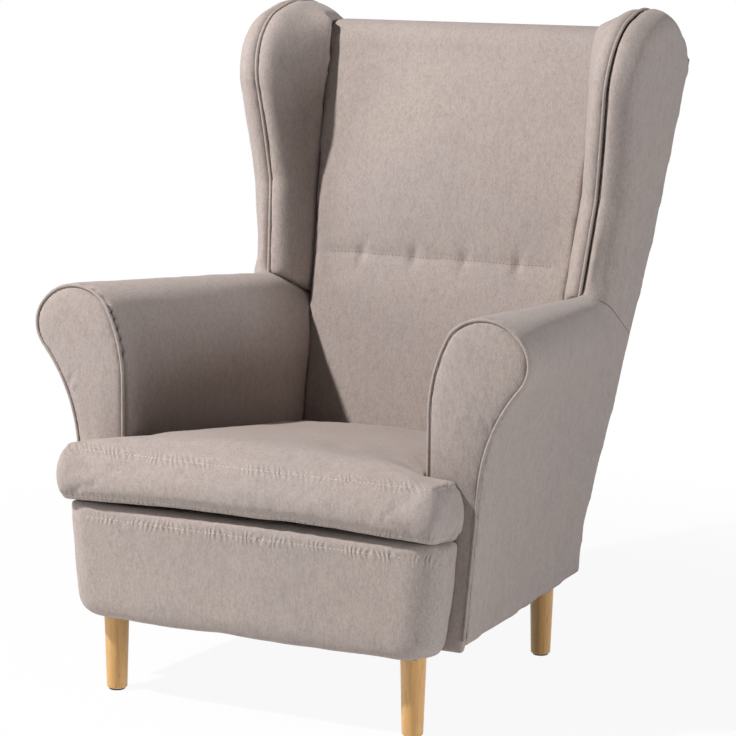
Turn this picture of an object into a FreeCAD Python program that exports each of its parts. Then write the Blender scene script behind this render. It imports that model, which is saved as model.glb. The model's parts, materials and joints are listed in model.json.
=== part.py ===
"""Wingback armchair: a sprung wooden frame, padding, sewn covers and a loose seat cushion.

Millimetres, +Z up, floor at Z = 0. The chair faces -Y and is mirrored about X = 0. The origin is on
the floor under the middle of the chair's box.
"""
import FreeCAD, Part
import math
import os
import Sketcher

Vector = FreeCAD.Vector
Rotation = FreeCAD.Rotation
Placement = FreeCAD.Placement

# Driving dimensions: name, value, what it is
SIZES = [
    ("glide_height", 3, "plastic glide under each leg"),
    ("glide_diameter", 25, "diameter of the glide"),
    ("leg_length", 122, "turned leg without its glide"),
    ("leg_top_diameter", 38, "leg where it meets the frame"),
    ("leg_foot_diameter", 31, "leg at the foot"),
    ("front_leg_offset", 248, "front leg axis from the middle"),
    ("rear_leg_offset", 235, "rear leg axis from the middle"),
    ("front_leg_forward", 365, "front leg axis ahead of the setting-out line"),
    ("rear_leg_back", 121, "rear leg axis behind the setting-out line"),
    ("bolt_diameter", 8, "hanger bolt that joins leg and plate"),
    ("bolt_grip", 30, "length of the bolt inside the leg"),
    ("plate_thickness", 22, "plywood plate above each leg"),
    ("base_half_width", 314, "outer side at the bottom of the arm front"),
    ("arm_forward", 338, "arm fronts ahead of the setting-out line"),
    ("side_lean", 5.43, "degrees that the sides lean outwards"),
    ("side_taper", 3.9, "degrees that the sides close towards the rear"),
    ("inner_taper", 4.4, "degrees that the arms' inner faces close towards the rear"),
    ("side_bottom_height", 131, "lower edge of the covers on the sides"),
    ("inner_half_width", 251, "inner face of the arm at its front"),
    ("arm_height", 606, "top of the arm at its front"),
    ("arm_drop", 36, "fall of the arm top from its front to the wing"),
    ("roll_reach", 407, "outermost point of the arm roll"),
    ("rear_edge_back", 163, "rear edge of the sides behind the setting-out line"),
    ("rear_kink_height", 205, "height where the rear edge starts to rake"),
    ("rear_bend_height", 640, "height where the rear edge bends forwards again"),
    ("back_rake", 24.2, "degrees that the rear edge leans back under its bend"),
    ("upper_rake", 17.4, "degrees that the rear edge leans back above its bend"),
    ("wing_front_back", 153, "foot of the wing behind the setting-out line"),
    ("wing_foot_height", 568, "foot of the wing above the floor"),
    ("wing_foot_slope", 29.5, "degrees that the wing foot falls rearwards"),
    ("wing_height", 1010, "top of the wings"),
    ("wing_corner_drop", 75, "rear top corner of the sides below the top of the wings"),
    ("wing_outer_thickness", 45, "outer roll of the wing, out to the seam"),
    ("wing_edge_round", 30, "rounding of the wing's outer edge"),
    ("wing_board_thickness", 18, "plywood board inside the wing"),
    ("wing_board_margin", 22, "padding round the wing board"),
    ("back_foot_back", 133, "front face of the back at its foot"),
    ("back_foot_height", 232, "foot of the inside back"),
    ("back_lean", 12.75, "degrees that the inside back leans back"),
    ("back_height", 981, "ridge of the inside back"),
    ("back_shoulder", 46, "rounded top of the inside back"),
    ("back_half_width", 209, "inside back half width at its foot"),
    ("back_flare", 3.4, "degrees that each side of the inside back opens"),
    ("back_seam_height", 605, "stitched channel across the inside back"),
    ("back_crown", 13, "swell of the inside back above and below the channel"),
    ("back_pad_foot", 25, "padding of the back at its foot"),
    ("back_pad_lean", 14.68, "degrees of the plane behind the padding"),
    ("post_inset", 20, "back post in from the outer side"),
    ("post_thickness", 30, "back post across the chair"),
    ("post_depth", 40, "back post front to rear"),
    ("rail_thickness", 22, "seat rails"),
    ("front_rail_height", 98, "front seat rail"),
    ("front_rail_forward", 405, "front face of the front rail ahead of the setting-out line"),
    ("rear_rail_back", 157, "rear face of the rear rail behind the setting-out line"),
    ("side_rail_inset", 38, "side rail in from the outer side"),
    ("seat_tilt", 6, "degrees that the seat falls rearwards"),
    ("spring_wire", 3.8, "wire of the zigzag springs"),
    ("spring_count", 5, "number of zigzag springs"),
    ("spring_spacing", 82, "distance between springs"),
    ("spring_width", 44, "width of a zigzag"),
    ("spring_pitch", 30, "distance between two runs of a zigzag"),
    ("cloth_thickness", 1.5, "woven cloth over the springs and under the frame"),
    ("deck_thickness", 36, "padding over the springs"),
    ("cover_thickness", 2.5, "upholstery fabric with its wadding"),
    ("apron_forward", 425, "front of the padded apron ahead of the setting-out line"),
    ("apron_half_width", 315, "half width of the apron at its top"),
    ("apron_tuck", 8, "how far the apron's ends draw in towards the arms"),
    ("apron_corner", 50, "rounded upright corners of the apron"),
    ("panel_thickness", 12, "padded panel on the arm front"),
    ("piping_diameter", 5, "piping round panels and wings"),
    ("arm_board_thickness", 22, "plywood board behind the arm front"),
    ("outside_back_thickness", 6, "covered panel that closes the back"),
    ("cushion_forward", 445, "front of the seat cushion ahead of the setting-out line"),
    ("cushion_half_width", 312, "half width of the cushion ahead of the arms"),
    ("cushion_side_height", 86, "height of the cushion's sewn side"),
    ("cushion_crown", 23, "rise of the cushion's top above its sides"),
    ("cushion_gap", 2, "room between the cushion and the arms and back"),
    ("cushion_cover", 2, "cushion fabric"),
    ("zip_margin", 13, "end of the zip in from the corner of the cushion"),
    ("zip_width", 22, "width of the zip tape"),
    ("soft_gap", 0.5, "room between curved soft layers"),
    ("setting_out_forward", 9.6, "setting-out line ahead of the origin"),
]

doc = FreeCAD.newDocument("WingbackArmchair")
sheet = doc.addObject("Spreadsheet::Sheet", "Sizes")
for row, (alias, value, meaning) in enumerate(SIZES, 1):
    sheet.set(f"A{row}", meaning)
    sheet.set(f"B{row}", str(value))
    sheet.setAlias(f"B{row}", alias)
doc.recompute()


def size(name):
    """Value of one named cell."""
    return float(sheet.get(name))


def tangent(name):
    """Tangent of an angle kept in a cell in degrees."""
    return math.tan(math.radians(size(name)))


# Values that follow from the driving dimensions
REACH = 0.7 * size("wing_height")
FRAME_BOTTOM = size("glide_height") + size("leg_length")
RAIL_BOTTOM = FRAME_BOTTOM + size("plate_thickness")
ARM_FRONT = -size("arm_forward")
COVER = size("cover_thickness")
SOFT = size("soft_gap")
PIPING = size("piping_diameter")
BOARD_FRONT = ARM_FRONT + size("panel_thickness")
BOARD_REAR = BOARD_FRONT + size("arm_board_thickness")
SEAM_PLANE = size("wing_outer_thickness")
CORNER = size("wing_height") - size("wing_corner_drop")
SHOULDER = size("back_height") - size("back_shoulder")

side_turn = Rotation(Vector(0, 0, 1), size("side_taper"))
side_turn = side_turn * Rotation(Vector(0, 1, 0), size("side_lean"))
side_frame = Placement(Vector(size("base_half_width"), ARM_FRONT, FRAME_BOTTOM), side_turn)
seat_frame = Placement(
    Vector(0, -size("front_rail_forward"), RAIL_BOTTOM + size("front_rail_height")),
    Rotation(Vector(1, 0, 0), -size("seat_tilt")),
)
TO_ORIGIN = Vector(0, -size("setting_out_forward"), 0)
exported = []


def keep(item, name):
    """Give an object its label and put it on the list of sub-parts."""
    item.Label = name
    exported.append(item)
    return item


def feature(name, shape):
    """One sub-part whose shape is worked out from the sheet."""
    item = doc.addObject("Part::Feature", name)
    item.Shape = shape.translated(TO_ORIGIN)
    return keep(item, name)


def mirrored(source, name):
    """The left piece of a pair, from the right one."""
    item = doc.addObject("Part::Mirroring", name)
    item.Source = source
    item.Normal = Vector(1, 0, 0)
    return keep(item, name)


def pair(name, shape):
    """Right and left piece of a pair."""
    right = feature(f"{name}_right", shape)
    mirrored(right, f"{name}_left")
    return right


def both(shape):
    """A shape and its mirror image, as a list."""
    return [shape, shape.mirror(Vector(0, 0, 0), Vector(1, 0, 0))]


def cut_all(shape, tools):
    """Cut several tools out of a shape."""
    for tool in tools:
        shape = shape.cut(tool)
    return shape


def largest(shape):
    """The largest solid of a shape, without the crumbs of a cut."""
    return max(shape.Solids, key=lambda solid: solid.Volume)


# Side view helpers: Y runs rearwards and Z up
def plate(corners, along):
    """A flat polygon stretched along a vector."""
    return Part.Face(Part.makePolygon(corners + corners[:1])).extrude(along)


def prism(points, half_width=REACH):
    """A side view polygon stretched across the chair."""
    return plate([Vector(-half_width, y, z) for y, z in points], Vector(2 * half_width, 0, 0))


def rear_edge(z):
    """Rear edge of the sides at a height: upright, raked, and less raked above its bend."""
    kink = size("rear_kink_height")
    bend = size("rear_bend_height")
    raked = tangent("back_rake") * max(0.0, min(z, bend) - kink)
    return size("rear_edge_back") + raked + tangent("upper_rake") * max(0.0, z - bend)


def rear_line(low, high, shift=0.0):
    """Points down the rear edge from one height to another, moved rearwards by a shift."""
    bends = [z for z in (size("rear_bend_height"), size("rear_kink_height")) if low < z < high]
    return [(rear_edge(z) + shift, z) for z in [high, *bends, low]]


def wing_foot(y):
    """Height of the joint between arm and wing."""
    return size("wing_foot_height") - tangent("wing_foot_slope") * (y - size("wing_front_back"))


def back_front(z):
    """Straight line through the front of the inside back."""
    return size("back_foot_back") + tangent("back_lean") * (z - size("back_foot_height"))


def webbing_plane(z):
    """Rear of the back padding, where the webbing runs."""
    start = size("back_foot_back") + size("back_pad_foot")
    return start + tangent("back_pad_lean") * (z - size("back_foot_height"))


def outer_side(y, z):
    """Half width of the flat outer side."""
    lean = tangent("side_lean") * (z - FRAME_BOTTOM)
    return size("base_half_width") + lean - tangent("side_taper") * (y - ARM_FRONT)


def inner_side(y):
    """Half width between the arms."""
    return size("inner_half_width") - tangent("inner_taper") * (y - ARM_FRONT)


def ahead_of_rear():
    """Everything ahead of the rear edge of the sides."""
    top = 2 * REACH
    return prism([(-REACH, -50), (-REACH, top)] + rear_line(-50, top))


def under_wing():
    """Everything under the joint between arm and wing."""
    return prism([
        (-REACH, -50),
        (REACH, -50),
        (REACH, wing_foot(REACH)),
        (-REACH, wing_foot(-REACH)),
    ])


def above_wing_foot():
    """Everything above the joint between arm and wing."""
    return prism([
        (-REACH, wing_foot(-REACH)),
        (REACH, wing_foot(REACH)),
        (REACH, 3 * REACH),
        (-REACH, 3 * REACH),
    ])


def level_block(low, high, front=-REACH, rear=REACH, half_width=REACH):
    """Everything between two heights and two depths."""
    return prism([(front, low), (rear, low), (rear, high), (front, high)], half_width)


def side_block(outer, inner, front=-REACH, rear=2 * REACH, low=-REACH, high=2 * REACH):
    """A block in the leaning frame of the right side, measured inwards from the outer side."""
    block = Part.makeBox(inner - outer, rear - front, high - low, Vector(-inner, front, low))
    block.Placement = side_frame
    return block


def seat_block(low, high, front=-REACH, rear=2 * REACH, half_width=REACH):
    """A block in the tilted frame of the seat."""
    block = Part.makeBox(2 * half_width, rear - front, high - low, Vector(-half_width, front, low))
    block.Placement = seat_frame
    return block


# Section helpers: a section is a list of points joined by lines and arcs
def wire(points, arcs):
    """Closed wire through points: an edge whose number is in arcs is an arc through one more point."""
    edges = []
    index = 0
    number = 0
    closed = points + points[:1]
    while index < len(points):
        if number in arcs:
            edges.append(Part.Arc(closed[index], closed[index + 1], closed[index + 2]).toShape())
            index += 2
        else:
            edges.append(Part.LineSegment(closed[index], closed[index + 1]).toShape())
            index += 1
        number += 1
    return Part.Wire(edges)


def loft(sections):
    """Closed solid with straight lines from section to section."""
    return Part.makeLoft(sections, True, True)


def inset(points, amount):
    """Move the points of a closed outline inwards, for an outline that runs clockwise."""
    moved = []
    count = len(points)
    for index, (a, b) in enumerate(points):
        before = points[index - 1]
        after = points[(index + 1) % count]
        to_before = (a - before[0], b - before[1])
        to_after = (after[0] - a, after[1] - b)
        length_1 = math.hypot(*to_before)
        length_2 = math.hypot(*to_after)
        normal_1 = (to_before[1] / length_1, -to_before[0] / length_1)
        normal_2 = (to_after[1] / length_2, -to_after[0] / length_2)
        share = 1 + normal_1[0] * normal_2[0] + normal_1[1] * normal_2[1]
        step = amount / max(share, 0.2)
        moved.append((a + step * (normal_1[0] + normal_2[0]), b + step * (normal_1[1] + normal_2[1])))
    return moved


# Turned legs, their glides, bolts and nuts
LEG_SPOTS = {
    "leg_front_right": ("Sizes.front_leg_offset", "-Sizes.front_leg_forward"),
    "leg_front_left": ("-Sizes.front_leg_offset", "-Sizes.front_leg_forward"),
    "leg_rear_right": ("Sizes.rear_leg_offset", "Sizes.rear_leg_back"),
    "leg_rear_left": ("-Sizes.rear_leg_offset", "Sizes.rear_leg_back"),
}
leg_points = [
    (x * size(a), y * size(b))
    for a, b, y in (("front_leg_offset", "front_leg_forward", -1), ("rear_leg_offset", "rear_leg_back", 1))
    for x in (1, -1)
]


def profile_body(name, plane, corners):
    """A body with one sketch whose corners are bound to the sheet."""
    body = doc.addObject("PartDesign::Body", name)
    sketch = body.newObject("Sketcher::SketchObject", f"{name}_profile")
    origin_plane = [item for item in body.Origin.OriginFeatures if item.Role == plane][0]
    sketch.AttachmentSupport = [(origin_plane, "")]
    sketch.MapMode = "FlatFace"
    values = [tuple(float(sheet.evalExpression(text)) for text in corner) for corner in corners]
    count = len(values)
    for index in range(count):
        start = Vector(*values[index], 0)
        end = Vector(*values[(index + 1) % count], 0)
        sketch.addGeometry(Part.LineSegment(start, end), False)
    for index in range(count):
        sketch.addConstraint(Sketcher.Constraint("Coincident", index, 2, (index + 1) % count, 1))
    for index, corner in enumerate(corners):
        for kind, text, value in zip(("DistanceX", "DistanceY"), corner, values[index]):
            number = sketch.addConstraint(Sketcher.Constraint(kind, -1, 1, index, 1, value))
            sketch.setExpression(f"Constraints[{number}]", text)
    return body, sketch


def turned_body(name, corners):
    """A body turned about the upright axis."""
    body, sketch = profile_body(name, "XZ_Plane", corners)
    turned = body.newObject("PartDesign::Revolution", f"{name}_turned")
    turned.Profile = sketch
    turned.ReferenceAxis = (sketch, ["V_Axis"])
    turned.Angle = 360
    return body


LEG_PROFILE = [
    ("0", "0"),
    ("Sizes.leg_foot_diameter / 2 - 1.5", "0"),
    ("Sizes.leg_foot_diameter / 2", "1.5"),
    ("Sizes.leg_top_diameter / 2", "Sizes.leg_length"),
    ("Sizes.bolt_diameter / 2", "Sizes.leg_length"),
    ("Sizes.bolt_diameter / 2", "Sizes.leg_length - Sizes.bolt_grip"),
    ("0", "Sizes.leg_length - Sizes.bolt_grip"),
]
for name, (place_x, place_y) in LEG_SPOTS.items():
    leg = keep(turned_body(name, LEG_PROFILE), name)
    leg.setExpression("Placement.Base.x", place_x)
    leg.setExpression("Placement.Base.y", f"{place_y} - Sizes.setting_out_forward")
    leg.setExpression("Placement.Base.z", "Sizes.glide_height")


def at_legs(shape):
    """Four copies of a shape, one on each leg axis."""
    copies = []
    for x, y in leg_points:
        copy = shape.copy()
        copy.translate(Vector(x, y, 0))
        copies.append(copy)
    return Part.makeCompound(copies)


NUT_FLANGE = 22
NUT_FLANGE_HEIGHT = 1.5
NUT_BARREL = 11
NUT_HEIGHT = 12
BOLT_TOP = RAIL_BOTTOM - 2
bolt_radius = size("bolt_diameter") / 2
glide = Part.makeCylinder(size("glide_diameter") / 2, size("glide_height"))
glide = glide.makeChamfer(0.8, [edge for edge in glide.Edges if edge.BoundBox.ZMax < 0.1])
feature("leg_glides", at_legs(glide))
bolt_start = FRAME_BOTTOM - size("bolt_grip")
bolt = Part.makeCylinder(bolt_radius, BOLT_TOP - bolt_start, Vector(0, 0, bolt_start))
feature("hanger_bolts", at_legs(bolt.makeChamfer(0.8, bolt.Edges[:1])))
nut = Part.makeCylinder(NUT_FLANGE / 2, NUT_FLANGE_HEIGHT, Vector(0, 0, RAIL_BOTTOM - NUT_FLANGE_HEIGHT))
nut_barrel = Part.makeCylinder(NUT_BARREL / 2, NUT_HEIGHT, Vector(0, 0, RAIL_BOTTOM - NUT_HEIGHT))
nut = nut.fuse(nut_barrel).removeSplitter()
nut_bore = Part.makeCylinder(bolt_radius, size("leg_length"), Vector(0, 0, FRAME_BOTTOM - 8))
feature("leg_tee_nuts", at_legs(nut.cut(nut_bore)))

# Plywood plates between the legs and the rails
PLATE_REACH = 55
front_plate_front = -size("front_rail_forward") + 1
front_plate = Part.makeBox(
    2 * PLATE_REACH,
    ARM_FRONT - 2 - front_plate_front,
    size("plate_thickness"),
    Vector(size("front_leg_offset") - 1.2 * PLATE_REACH, front_plate_front, FRAME_BOTTOM),
).common(side_block(size("side_rail_inset") - 6, REACH))
rear_plate = Part.makeBox(
    2 * PLATE_REACH,
    size("rear_rail_back") - size("rear_leg_back") + 40,
    size("plate_thickness"),
    Vector(size("rear_leg_offset") - 1.2 * PLATE_REACH, size("rear_leg_back") - 40, FRAME_BOTTOM),
).common(side_block(size("post_inset"), REACH))
leg_bores = at_legs(
    nut.fuse(Part.makeCylinder(bolt_radius, size("plate_thickness"), Vector(0, 0, FRAME_BOTTOM)))
)

# Seat rails; their upper edges lie in the tilted seat plane
above_seat = seat_block(0, REACH)
rail = size("rail_thickness")
rail_outer = size("side_rail_inset")
RAIL_LIMIT = RAIL_BOTTOM + 3 * size("front_rail_height")
POST_GAP = 5
side_rail_rear = rear_edge(0) - size("post_depth") - POST_GAP
side_rail = side_block(rail_outer, rail_outer + rail, front=-REACH)
side_rail = side_rail.common(
    level_block(RAIL_BOTTOM, RAIL_LIMIT, front=rail - size("front_rail_forward"), rear=side_rail_rear)
).cut(above_seat)
rear_rail = level_block(
    RAIL_BOTTOM, RAIL_LIMIT, front=size("rear_rail_back") - rail, rear=size("rear_rail_back")
)
post_outer = size("post_inset")
post_inner = post_outer + size("post_thickness")
rear_rail = cut_all(rear_rail, both(side_block(-REACH, post_inner))).cut(above_seat)
front_rail = level_block(
    RAIL_BOTTOM, RAIL_LIMIT, front=-size("front_rail_forward"), rear=rail - size("front_rail_forward")
)
front_rail = cut_all(front_rail, both(side_block(-REACH, rail_outer))).cut(above_seat)

# Back posts: upright at the foot, then raked with the rear edge
STRAP_THICKNESS = 2
TOP_RAIL_HEIGHT = 30
POST_TOP = min(SHOULDER, CORNER) - TOP_RAIL_HEIGHT
depth = size("post_depth")
post_rear = rear_line(RAIL_BOTTOM, POST_TOP, -POST_GAP)
post_front = rear_line(RAIL_BOTTOM, POST_TOP, -POST_GAP - depth)[::-1]
post = prism(post_rear + post_front).common(side_block(post_outer, post_inner))
behind_posts = prism(
    [(3 * REACH, 2 * REACH)] + rear_line(size("rear_kink_height"), 2 * REACH, -POST_GAP - depth)
    + [(3 * REACH, size("rear_kink_height"))]
)

# Rails of the back
TOP_RAIL_TOP = POST_TOP + TOP_RAIL_HEIGHT
back_top_rail = prism(
    [(webbing_plane(POST_TOP) + STRAP_THICKNESS, POST_TOP)]
    + rear_line(POST_TOP, TOP_RAIL_TOP)[::-1]
    + [(webbing_plane(TOP_RAIL_TOP) + STRAP_THICKNESS, TOP_RAIL_TOP)]
)
back_top_rail = cut_all(back_top_rail, both(side_block(-REACH, post_outer)))
LOWER_RAIL_HEIGHT = 45
LOWER_RAIL_DEPTH = 16
lower_rail_foot = size("back_foot_height") - 7
lower_rail_top = lower_rail_foot + LOWER_RAIL_HEIGHT
back_lower_rail = prism([
    (webbing_plane(z) + STRAP_THICKNESS + back, z)
    for z, back in (
        (lower_rail_foot, 0),
        (lower_rail_foot, LOWER_RAIL_DEPTH),
        (lower_rail_top, LOWER_RAIL_DEPTH),
        (lower_rail_top, 0),
    )
]).common(ahead_of_rear())
back_lower_rail = cut_all(back_lower_rail, both(side_block(-REACH, post_inner)))
back_lower_rail = cut_all(back_lower_rail, both(post))


# Arm form: the front section has the roll, and it dies away at the wing
def arm_points(y, roll, grow):
    """Front view outline of the right arm at a depth, clockwise from its inner foot."""
    top = size("arm_height") - size("arm_drop") * (1 - roll)
    inner = inner_side(y)
    foot = FRAME_BOTTOM

    def side(z, rolled):
        """Outer point that goes from the flat side to the rolled front."""
        return (1 - roll) * outer_side(y, z) + roll * rolled

    reach = size("roll_reach")
    points = [
        (inner, foot),
        (inner, top - 150),
        (inner + 7, top - 86),
        (inner + 32, top - 24),
        (inner + 32 + 0.5 * (side(top - 30, reach - 13) - inner - 32), top),
        (side(top - 30, reach - 13) - 8 * (1 - roll), top - 28),
        (side(top - 58, reach) + 2 * (1 - roll), top - 58),
        (side(top - 98, reach - 13), top - 98),
        (side(top - 158, reach - 51) + 1.5 * (1 - roll), top - 158),
        (side(top - 246, reach - 73), top - 246),
        (outer_side(y, foot), foot),
    ]
    return inset(points, grow)


ARM_ARCS = (1, 2, 3, 4)


def arm_form(amount, extra=0.0):
    """Whole arm drawn in by an amount; extra lowers its open underside."""
    wing_start = size("wing_front_back")
    stations = (
        (ARM_FRONT - extra, (wing_start - ARM_FRONT + extra) / (wing_start - ARM_FRONT)),
        (wing_start, 0.0),
        (wing_start + 260, 0.0),
    )
    sections = []
    for y, roll in stations:
        points = arm_points(y, roll, amount)
        points[0] = (points[0][0], points[0][1] - amount - extra)
        points[-1] = (points[-1][0], points[-1][1] - amount - extra)
        sections.append(wire([Vector(x, y, z) for x, z in points], ARM_ARCS))
    return loft(sections)


def arm_layer(amount, front, rear):
    """Layer of the arm from one depth to another."""
    return arm_form(amount).common(level_block(0, REACH, front=front, rear=rear))


def arm_slice(amount, front, rear):
    """Slice of the arm's front section, for the parts on its front."""
    points = arm_points(ARM_FRONT, 1.0, amount)
    outline = wire([Vector(x, front, z) for x, z in points], ARM_ARCS)
    slant = -tangent("side_taper") * (rear - front)
    return Part.Face(outline).extrude(Vector(slant, rear - front, 0))


# Space of the inside back, which arms and wings make room for
def between_back_sides(amount=0.0):
    """Everything between the two sides of the inside back, less an amount at each side."""
    foot = size("back_foot_height") / 2
    top = 2 * REACH
    low = size("back_half_width") + tangent("back_flare") * (foot - size("back_foot_height")) - amount
    high = size("back_half_width") + tangent("back_flare") * (top - size("back_foot_height")) - amount
    corners = [(-low, foot), (low, foot), (high, top), (-high, top)]
    return plate([Vector(x, -REACH, z) for x, z in corners], Vector(0, 3 * REACH, 0))


back_low = size("back_foot_height")
back_top_limit = 2 * REACH
crease = size("back_crown") / 2
back_space = prism([
    (back_front(back_low) - crease, back_low),
    (back_front(back_top_limit) - crease, back_top_limit),
    (REACH, back_top_limit),
    (REACH, back_low),
]).common(between_back_sides())
rear_well = level_block(-50, back_low, front=size("rear_rail_back") - rail - 1)
rear_well = rear_well.common(between_back_sides())

# Arm: cavity, top rail, boards, padding and cover
ahead_rear = ahead_of_rear()
below_joint = under_wing()
above_floor = level_block(size("side_bottom_height"), 3 * REACH)
CAVITY_WALL = 14
CAVITY_SKIN = COVER + 8
CAVITY_SLOPE_HEIGHT = 125
CAVITY_SLOPE_WIDTH = 46
cavity_top = size("arm_height") - 81


def cavity_section(y):
    """Front view outline of the hollow inside the arm: its inner top corner follows the arm's round top."""
    inner = inner_side(y) + CAVITY_WALL
    foot = FRAME_BOTTOM - 25
    corners = [
        (inner, foot),
        (inner, cavity_top - CAVITY_SLOPE_HEIGHT),
        (inner + CAVITY_SLOPE_WIDTH, cavity_top),
        (outer_side(y, cavity_top) - CAVITY_SKIN - 6, cavity_top),
        (outer_side(y, foot) - CAVITY_SKIN, foot),
    ]
    return Part.makePolygon([Vector(x, y, z) for x, z in corners + corners[:1]])


arm_cavity = loft([cavity_section(BOARD_REAR), cavity_section(ARM_FRONT + 1.3 * REACH)])
ARM_RAIL_OUTER = 24
ARM_RAIL_WIDTH = 42
ARM_RAIL_HEIGHT = 28
arm_top_rail = side_block(ARM_RAIL_OUTER, ARM_RAIL_OUTER + ARM_RAIL_WIDTH).common(
    level_block(cavity_top - ARM_RAIL_HEIGHT, cavity_top, front=BOARD_REAR)
).common(ahead_rear).cut(behind_posts)

# Wing form in the leaning frame of the side
WING_CURVE = [
    (-3, 0), (12, 80), (25, 148), (19, 222), (7, 312), (32, 387), (101, 429), (184, 438), (260, 409),
    (288, 392),
]
WING_CURVE_DEPTH = 298
WING_CURVE_HEIGHT = 442


def side_point(y, z):
    """Depth and height in the leaning frame of a point seen from the side."""
    lean = math.radians(size("side_lean"))
    taper = math.radians(size("side_taper"))
    up = (z - FRAME_BOTTOM) / math.cos(lean)
    return (y - ARM_FRONT - up * math.sin(lean) * math.sin(taper)) / math.cos(taper), up


def wing_outline():
    """Front and top curve of the wing, from its foot to its rear corner."""
    rise = (size("wing_height") - size("wing_foot_height")) / WING_CURVE_HEIGHT
    run = (rear_edge(CORNER) - size("wing_front_back")) / WING_CURVE_DEPTH
    points = [
        (size("wing_front_back") + y * run, size("wing_foot_height") + z * rise)
        for y, z in WING_CURVE
    ]
    points.append((rear_edge(CORNER) + 2, CORNER))
    return [side_point(y, z) for y, z in points]


def wing_section(across, front_inset, top_inset):
    """Section of the wing in a plane beside the side, closed under the wing foot."""
    outline = wing_outline()
    moved = []
    for index, (y, z) in enumerate(outline):
        before = outline[max(index - 1, 0)]
        after = outline[min(index + 1, len(outline) - 1)]
        run = after[0] - before[0]
        climb = after[1] - before[1]
        length = math.hypot(run, climb)
        moved.append((y + climb / length * front_inset, z - run / length * top_inset))
    below = (size("wing_height") - size("wing_foot_height")) / 2
    behind = size("wing_corner_drop") + 5
    foot = outline[0][1] - below
    rear = outline[-1][0] + behind
    points = [(moved[0][0], foot)] + moved + [(rear, moved[-1][1] - behind), (rear, foot)]
    return wire([Vector(-across, y, z) for y, z in points], (1, 2, 3, 4, 5))


def wing_solid(stations):
    """Loft of wing sections, set in the leaning frame and trimmed by the joint and rear planes."""
    solid = loft([wing_section(*station) for station in stations])
    solid.Placement = side_frame
    return solid


def wing_outer_form(amount, over=0.0):
    """Outer roll of the wing, drawn in by an amount; over opens it at the seam."""
    edge = size("wing_edge_round")
    return wing_solid([
        (amount, edge + amount, edge + amount),
        (amount + 0.17 * edge, 0.54 * edge + amount, 0.54 * edge + amount),
        (amount + 0.42 * edge, 0.27 * edge + amount, 0.27 * edge + amount),
        (0.92 * edge, amount, amount),
        (SEAM_PLANE - 8, amount + 0.5, amount + 0.5),
        (SEAM_PLANE + over, amount + 6, amount + 6),
    ])


def wing_inner_form(amount, over=0.0):
    """Inner pad of the wing, which thickens towards the back."""
    return wing_solid([
        (SEAM_PLANE - over, amount + 6, amount + 6),
        (SEAM_PLANE + 5, amount + 1, amount + 1),
        (SEAM_PLANE + 14, amount + 1, amount + 1),
        (SEAM_PLANE + 24, amount + 7, amount + 6),
        (SEAM_PLANE + 31 - amount, amount + 20, amount + 12),
        (SEAM_PLANE + 46 - amount, amount + 62, amount + 20),
        (SEAM_PLANE + 72 - amount, amount + 130, amount + 28),
    ])


above_joint = above_wing_foot()
margin = size("wing_board_margin")
board_start = SEAM_PLANE - size("wing_board_thickness")
wing_board = wing_solid([(board_start, margin, margin), (SEAM_PLANE, margin, margin)])
wing_board = wing_board.cut(behind_posts).common(level_block(cavity_top, 3 * REACH))
wing_board = wing_board.cut(back_top_rail)

# Wooden pieces that the padding is cut round
arm_board = arm_layer(PIPING + 1, BOARD_FRONT, BOARD_REAR).common(above_floor).cut(side_rail)
side_wood = [side_rail, post, arm_top_rail, wing_board, back_top_rail, back_lower_rail, rear_rail]
side_wood += [front_plate, rear_plate]

arm_limits = cut_all(ahead_rear.common(below_joint).common(above_floor), [back_space, rear_well])
arm_shell = arm_form(0).cut(arm_form(COVER, 12))
arm_cover = arm_shell.common(arm_limits).common(level_block(0, REACH, front=ARM_FRONT + PIPING))
arm_cover = cut_all(arm_cover, side_wood)
arm_pad = arm_form(COVER + SOFT, 12).common(arm_limits).common(level_block(0, REACH, front=BOARD_REAR))
arm_pad = cut_all(arm_pad.cut(arm_cavity), side_wood)

wing_limits = ahead_rear.common(above_joint).cut(back_space)
wing_cuts = [post, wing_board, back_top_rail, arm_top_rail]
wing_outer_cover = cut_all(wing_outer_form(0).cut(wing_outer_form(COVER, 1)).common(wing_limits), wing_cuts)
wing_outer_pad = cut_all(
    wing_outer_form(COVER + SOFT).common(wing_limits).common(side_block(0, SEAM_PLANE)), wing_cuts
)
wing_inner_cover = cut_all(wing_inner_form(0).cut(wing_inner_form(COVER, 1)).common(wing_limits), wing_cuts)
wing_inner_pad = cut_all(
    wing_inner_form(COVER + SOFT).common(wing_limits).common(side_block(SEAM_PLANE, REACH)), wing_cuts
)

piping_ring = arm_slice(0, ARM_FRONT - 1, ARM_FRONT + PIPING - 1)
piping_ring = piping_ring.cut(arm_slice(PIPING, ARM_FRONT - 2, ARM_FRONT + PIPING))
arm_piping = piping_ring.common(above_floor)
arm_panel = arm_layer(PIPING + SOFT, ARM_FRONT, BOARD_FRONT).cut(side_rail).common(above_floor)
wing_piping_form = wing_solid([(SEAM_PLANE - 2, -0.5, -0.5), (SEAM_PLANE + 2.5, -0.5, -0.5)])
wing_piping = wing_piping_form.cut(wing_solid([(SEAM_PLANE - 3, 4.5, 4.5), (SEAM_PLANE + 4, 4.5, 4.5)]))
wing_piping = wing_piping.common(wing_limits).cut(back_top_rail)
wing_outer_cover = wing_outer_cover.cut(wing_piping)
wing_inner_cover = largest(wing_inner_cover.cut(wing_piping))

# Padded apron under the cushion: the front border of the seat
DECK_BOTTOM = 2 * size("spring_wire") + size("cloth_thickness")
DECK_TOP = DECK_BOTTOM + size("deck_thickness")
apron_rear = ARM_FRONT - 1.3


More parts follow.
